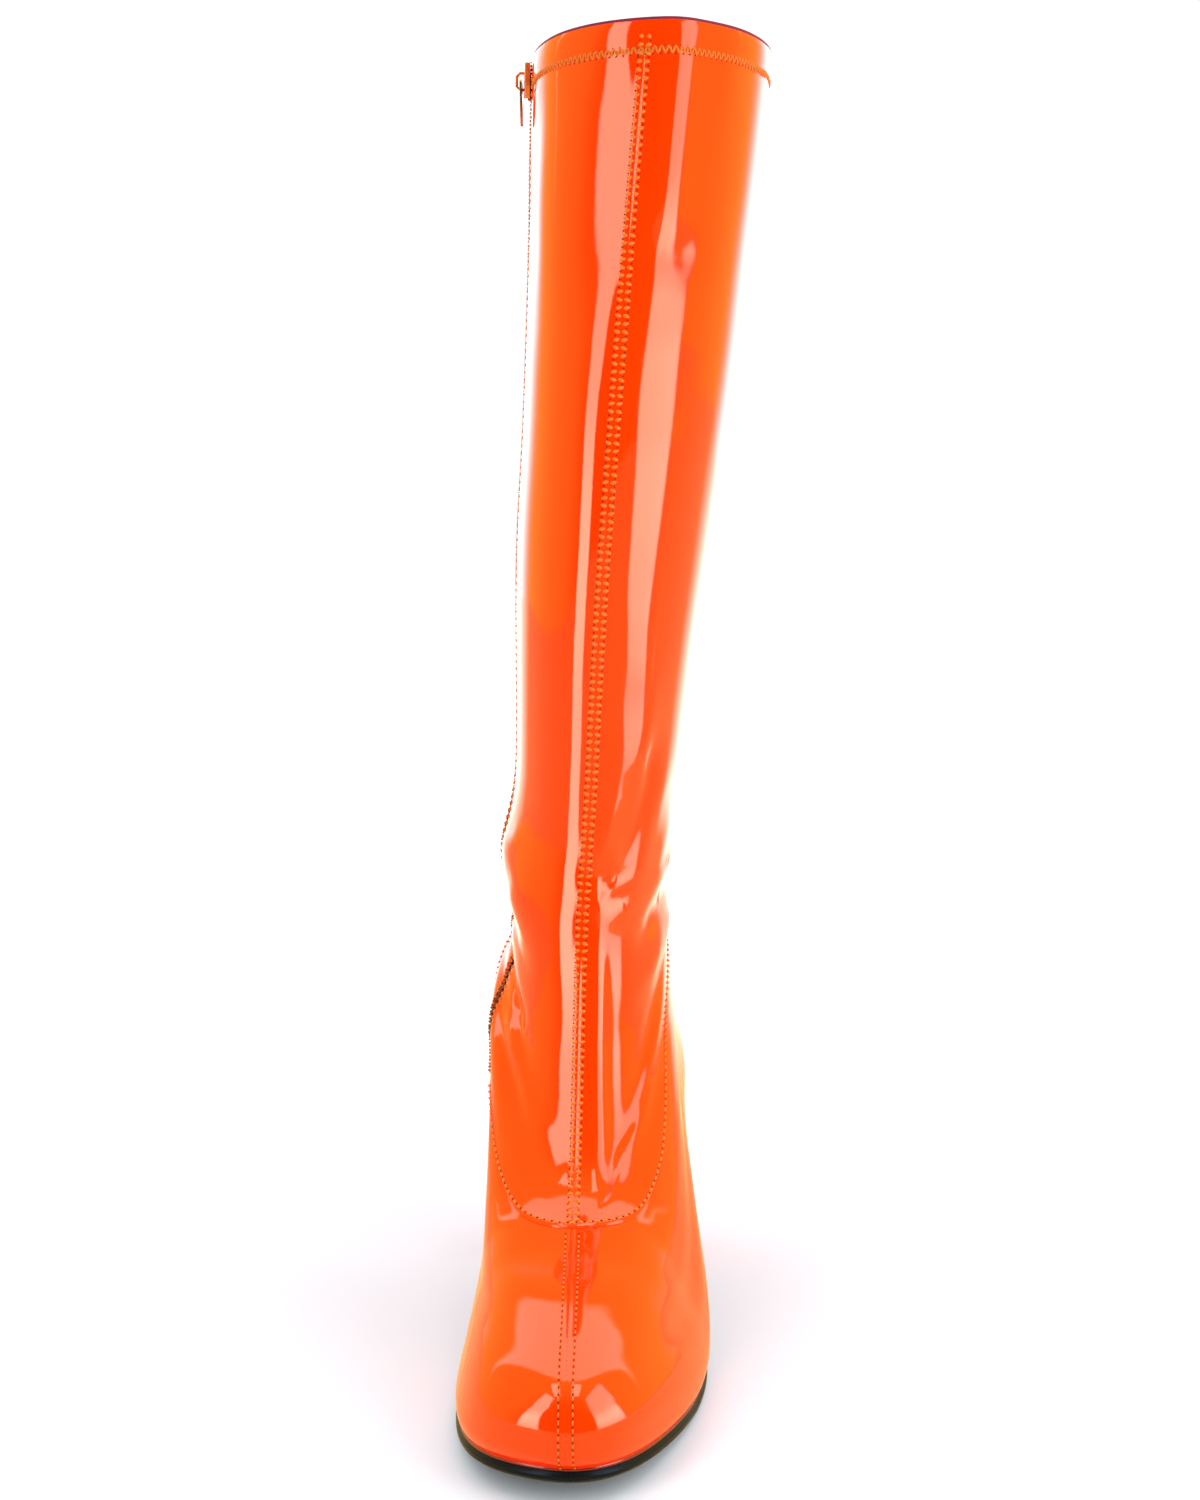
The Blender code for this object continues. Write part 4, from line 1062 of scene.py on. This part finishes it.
def rounded_copy(node, name, width, material):
    """A merged copy of a hard CAD piece with its edges rounded."""
    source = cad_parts[node]
    made = source.copy()
    made.data = source.data.copy()
    for key in list(made.keys()):
        del made[key]
    made.parent = None
    bpy.context.scene.collection.objects.link(made)
    edit(
        made,
        (bpy.ops.mesh.remove_doubles, {"threshold": 1e-6}),
        (bpy.ops.mesh.tris_convert_to_quads, {}),
        (bpy.ops.mesh.dissolve_limited, {"angle_limit": math.radians(1.0)}),
    )
    apply_modifier(
        made, "BEVEL", width=width, segments=3, limit_method="ANGLE", angle_limit=math.radians(28),
        use_clamp_overlap=True,
    )
    smooth(made, 60)
    return named(made, name, material)


slider = rounded_copy("slider", "slider_body", 0.00022, LACQUER)
tab = rounded_copy("pull_tab", "tab_plate", 0.00016, COPPER)

for source in (hem_stitch, fine_stitch, bold_stitch, tiny_stitch, pinhole, large_pinhole, tooth):
    bpy.data.objects.remove(source, do_unlink=True)

# What stands for what, and what moves with what
for piece in [shaft, vamp, feather_line, tape, sole, heel, lift_piece, slider] + seams + teeth:
    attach(piece, "boot")
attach(tab, "tab")
stand_ins = {
    "upper": shaft, "zip_chain": tape, "outsole": sole, "heel_block": heel, "top_lift": lift_piece,
    "slider": slider, "pull_tab": tab,
}
for node, piece in stand_ins.items():
    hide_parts(node)
slots = {
    "orange_patent": [shaft, vamp, feather_line] + seams,
    "zip_tape_and_coil": [tape] + teeth,
    "black_sole": [sole],
    "heel_patent": [heel],
    "black_lift": [lift_piece],
    "lacquered_metal": [slider],
    "copper_brown_metal": [tab],
}
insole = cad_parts["insole"]
insole.data.materials.clear()
insole.data.materials.append(LINING)


# Camera, floor and studio light
CAMERA_PLACE = Vector((0.0401, -0.7435, 0.3181))
CAMERA_AIM = Vector((0.0033, -0.0142, 0.2092))
CAMERA_ROLL = math.radians(-0.77)
CAMERA_LENS = 45.27

camera = bpy.data.objects.new("camera", bpy.data.cameras.new("camera"))
camera.data.lens = CAMERA_LENS
camera.data.sensor_width = 36.0
camera.data.clip_start = 0.01
ahead = (CAMERA_AIM - CAMERA_PLACE).normalized()
right = ahead.cross(Vector((0, 0, 1))).normalized()
up = right.cross(ahead)
rolled_right = right * math.cos(CAMERA_ROLL) + up * math.sin(CAMERA_ROLL)
rolled_up = up * math.cos(CAMERA_ROLL) - right * math.sin(CAMERA_ROLL)
turn = Matrix((rolled_right, rolled_up, -ahead)).transposed()
camera.matrix_world = Matrix.Translation(CAMERA_PLACE) @ turn.to_4x4()
bpy.context.scene.collection.objects.link(camera)
bpy.context.scene.camera = camera


def make_floor():
    bpy.ops.mesh.primitive_grid_add(x_subdivisions=4, y_subdivisions=4, size=9.0, location=(0, 0, -0.0002))
    made = bpy.context.object
    bpy.ops.object.transform_apply(location=True, rotation=True, scale=True)
    finish = Finish("pale_floor", Roughness=0.8, Specular_IOR_Level=0.0, Emission_Strength=2.4)
    pale = finish.mix(finish.noise(3.0), (0.54, 0.575, 0.595), (0.56, 0.59, 0.61))
    mirrored = finish.node("ShaderNodeLightPath", "Is Glossy Ray")
    seen = finish.node("ShaderNodeLightPath", "Is Camera Ray")
    away = finish.node("ShaderNodeVectorMath", "Value", {"operation": "LENGTH"}, Vector=finish.place())
    # In reflections the floor is painted warm: a painted reflection colour
    finish.set("Base Color", finish.mix(mirrored, pale, (0.66, 0.50, 0.22)))
    # The far floor glows so that it runs into the white backdrop, and a glow that only reflections see
    # paints bright reflections at the boot's edges
    backwards = finish.node("ShaderNodeSeparateXYZ", "Y", Vector=finish.place()) / away
    far = ((away - 0.24) / 0.8).clamped() * seen * 0.25
    rear = ((backwards - 0.70) / 0.22).clamped() * ((away - 0.25) / 0.5).clamped() * mirrored
    finish.set("Emission Color", finish.mix(far + rear, (0.0, 0.0, 0.0), (1.0, 1.0, 1.0)))
    return named(made, "floor", finish.material)


make_floor()


HOT_REACH = 0.16


def softbox(name, place, aim, width, height, glow, hot_height=0.0, hot_glow=0.0):
    """A lamp with soft edges, unseen by the camera, brightest at hot_height from its middle."""
    bpy.ops.mesh.primitive_grid_add(x_subdivisions=2, y_subdivisions=2, size=1.0)
    made = bpy.context.object
    for vertex in made.data.vertices:
        vertex.co = (vertex.co.x * width, vertex.co.y * height, 0.0)
    made.location = place
    made.rotation_euler = (Vector(aim) - Vector(place)).to_track_quat("-Z", "Y").to_euler()
    finish = Finish(name, Base_Color=(0.0, 0.0, 0.0), Roughness=1.0, Specular_IOR_Level=0.0)
    finish.set("Emission Strength", glow * (1 + hot_glow))
    cut = finish.node("ShaderNodeSeparateXYZ", "X", Vector=finish.place())
    across = Value(finish.tree, cut.socket.node.outputs["X"])
    upright = Value(finish.tree, cut.socket.node.outputs["Y"])
    edge = 1 - (across * (2 / width)).power(2).power(6)
    ends = 1 - (upright * (2 / height)).power(2).power(10)
    hot = (0 - ((upright - hot_height) / HOT_REACH).power(2)).exponent()
    level = (hot * hot_glow + 1) / (1 + hot_glow)
    shown = (edge * ends * level).clamped()
    finish.set("Emission Color", finish.mix(shown, (0.0, 0.0, 0.0), (1.0, 1.0, 1.0)))
    named(made, name, finish.material)
    made.visible_camera = False


softbox("left_strip", (-0.52, -0.62, 0.50), (0.0, -0.08, 0.50), 0.28, 1.14, 6.4, -0.28, 0.6)
softbox("right_strip", (0.74, -0.42, 0.50), (0.01, -0.08, 0.50), 0.68, 1.14, 4.6, -0.28, 0.9)
for side, x, width in (("left", -0.47, 0.16), ("right", 0.32, 0.26)):
    softbox(f"over_{side}", (x, -0.58, 1.35), (x, -0.579, 0.0), width, 0.46, 6.0)

world = bpy.data.worlds.new("studio")
bpy.context.scene.world = world
world.use_nodes = True
sky = world.node_tree
direction = sky.nodes.new("ShaderNodeTexCoord")
parts = sky.nodes.new("ShaderNodeSeparateXYZ")
sky.links.new(direction.outputs["Generated"], parts.inputs[0])


def ramp(value, low, high):
    """0 below low, 1 above high, smooth between."""
    made = sky.nodes.new("ShaderNodeMapRange")
    made.interpolation_type = "SMOOTHSTEP"
    made.inputs["From Min"].default_value = low
    made.inputs["From Max"].default_value = high
    sky.links.new(value.socket, made.inputs["Value"])
    return Value(sky, made.outputs["Result"])


sideways, behind, upwards = (Value(sky, parts.outputs[axis]) for axis in "XYZ")
rays = sky.nodes.new("ShaderNodeLightPath")
seen = Value(sky, rays.outputs["Is Camera Ray"])
mirrored = Value(sky, rays.outputs["Is Glossy Ray"])
# Dark in front, warm at the sides and bright straight behind, which gives the boot its pale edges
walls = ramp(behind, -0.75, -0.15) * 1.25 + ramp(behind, 0.72, 0.93) * 2.0 + 0.08
# A white canopy overhead, which the vamp mirrors as its broad highlight
over_toe = behind - sideways * sideways * 0.73
over_instep = behind - sideways * sideways * 0.12
canopy = ramp(over_toe, -0.12, -0.06) * (1 - ramp(over_instep, 0.34, 0.40)) * ramp(upwards, 0.12, 0.25)
# The camera itself sees a plain white backdrop
glow = (walls + canopy * 2.4) * (1 - seen) + seen * 1.1
background = sky.nodes["Background"]
sky.links.new(glow.socket, background.inputs["Strength"])
tone = sky.nodes.new("ShaderNodeMix")
tone.data_type = "RGBA"
tone.inputs[6].default_value = (1.0, 0.86, 0.15, 1.0)
tone.inputs[7].default_value = (0.985, 0.99, 1.0, 1.0)
# What patent mirrors is warm, apart from the bright back and the canopy
white_part = (ramp(behind, 0.66, 0.86) + canopy * 0.8 + seen + (1 - mirrored)).clamped()
sky.links.new(white_part.socket, tone.inputs[0])
sky.links.new(tone.outputs[2], background.inputs["Color"])
bpy.context.scene.view_settings.view_transform = "Standard"
bpy.context.scene.view_settings.look = "None"
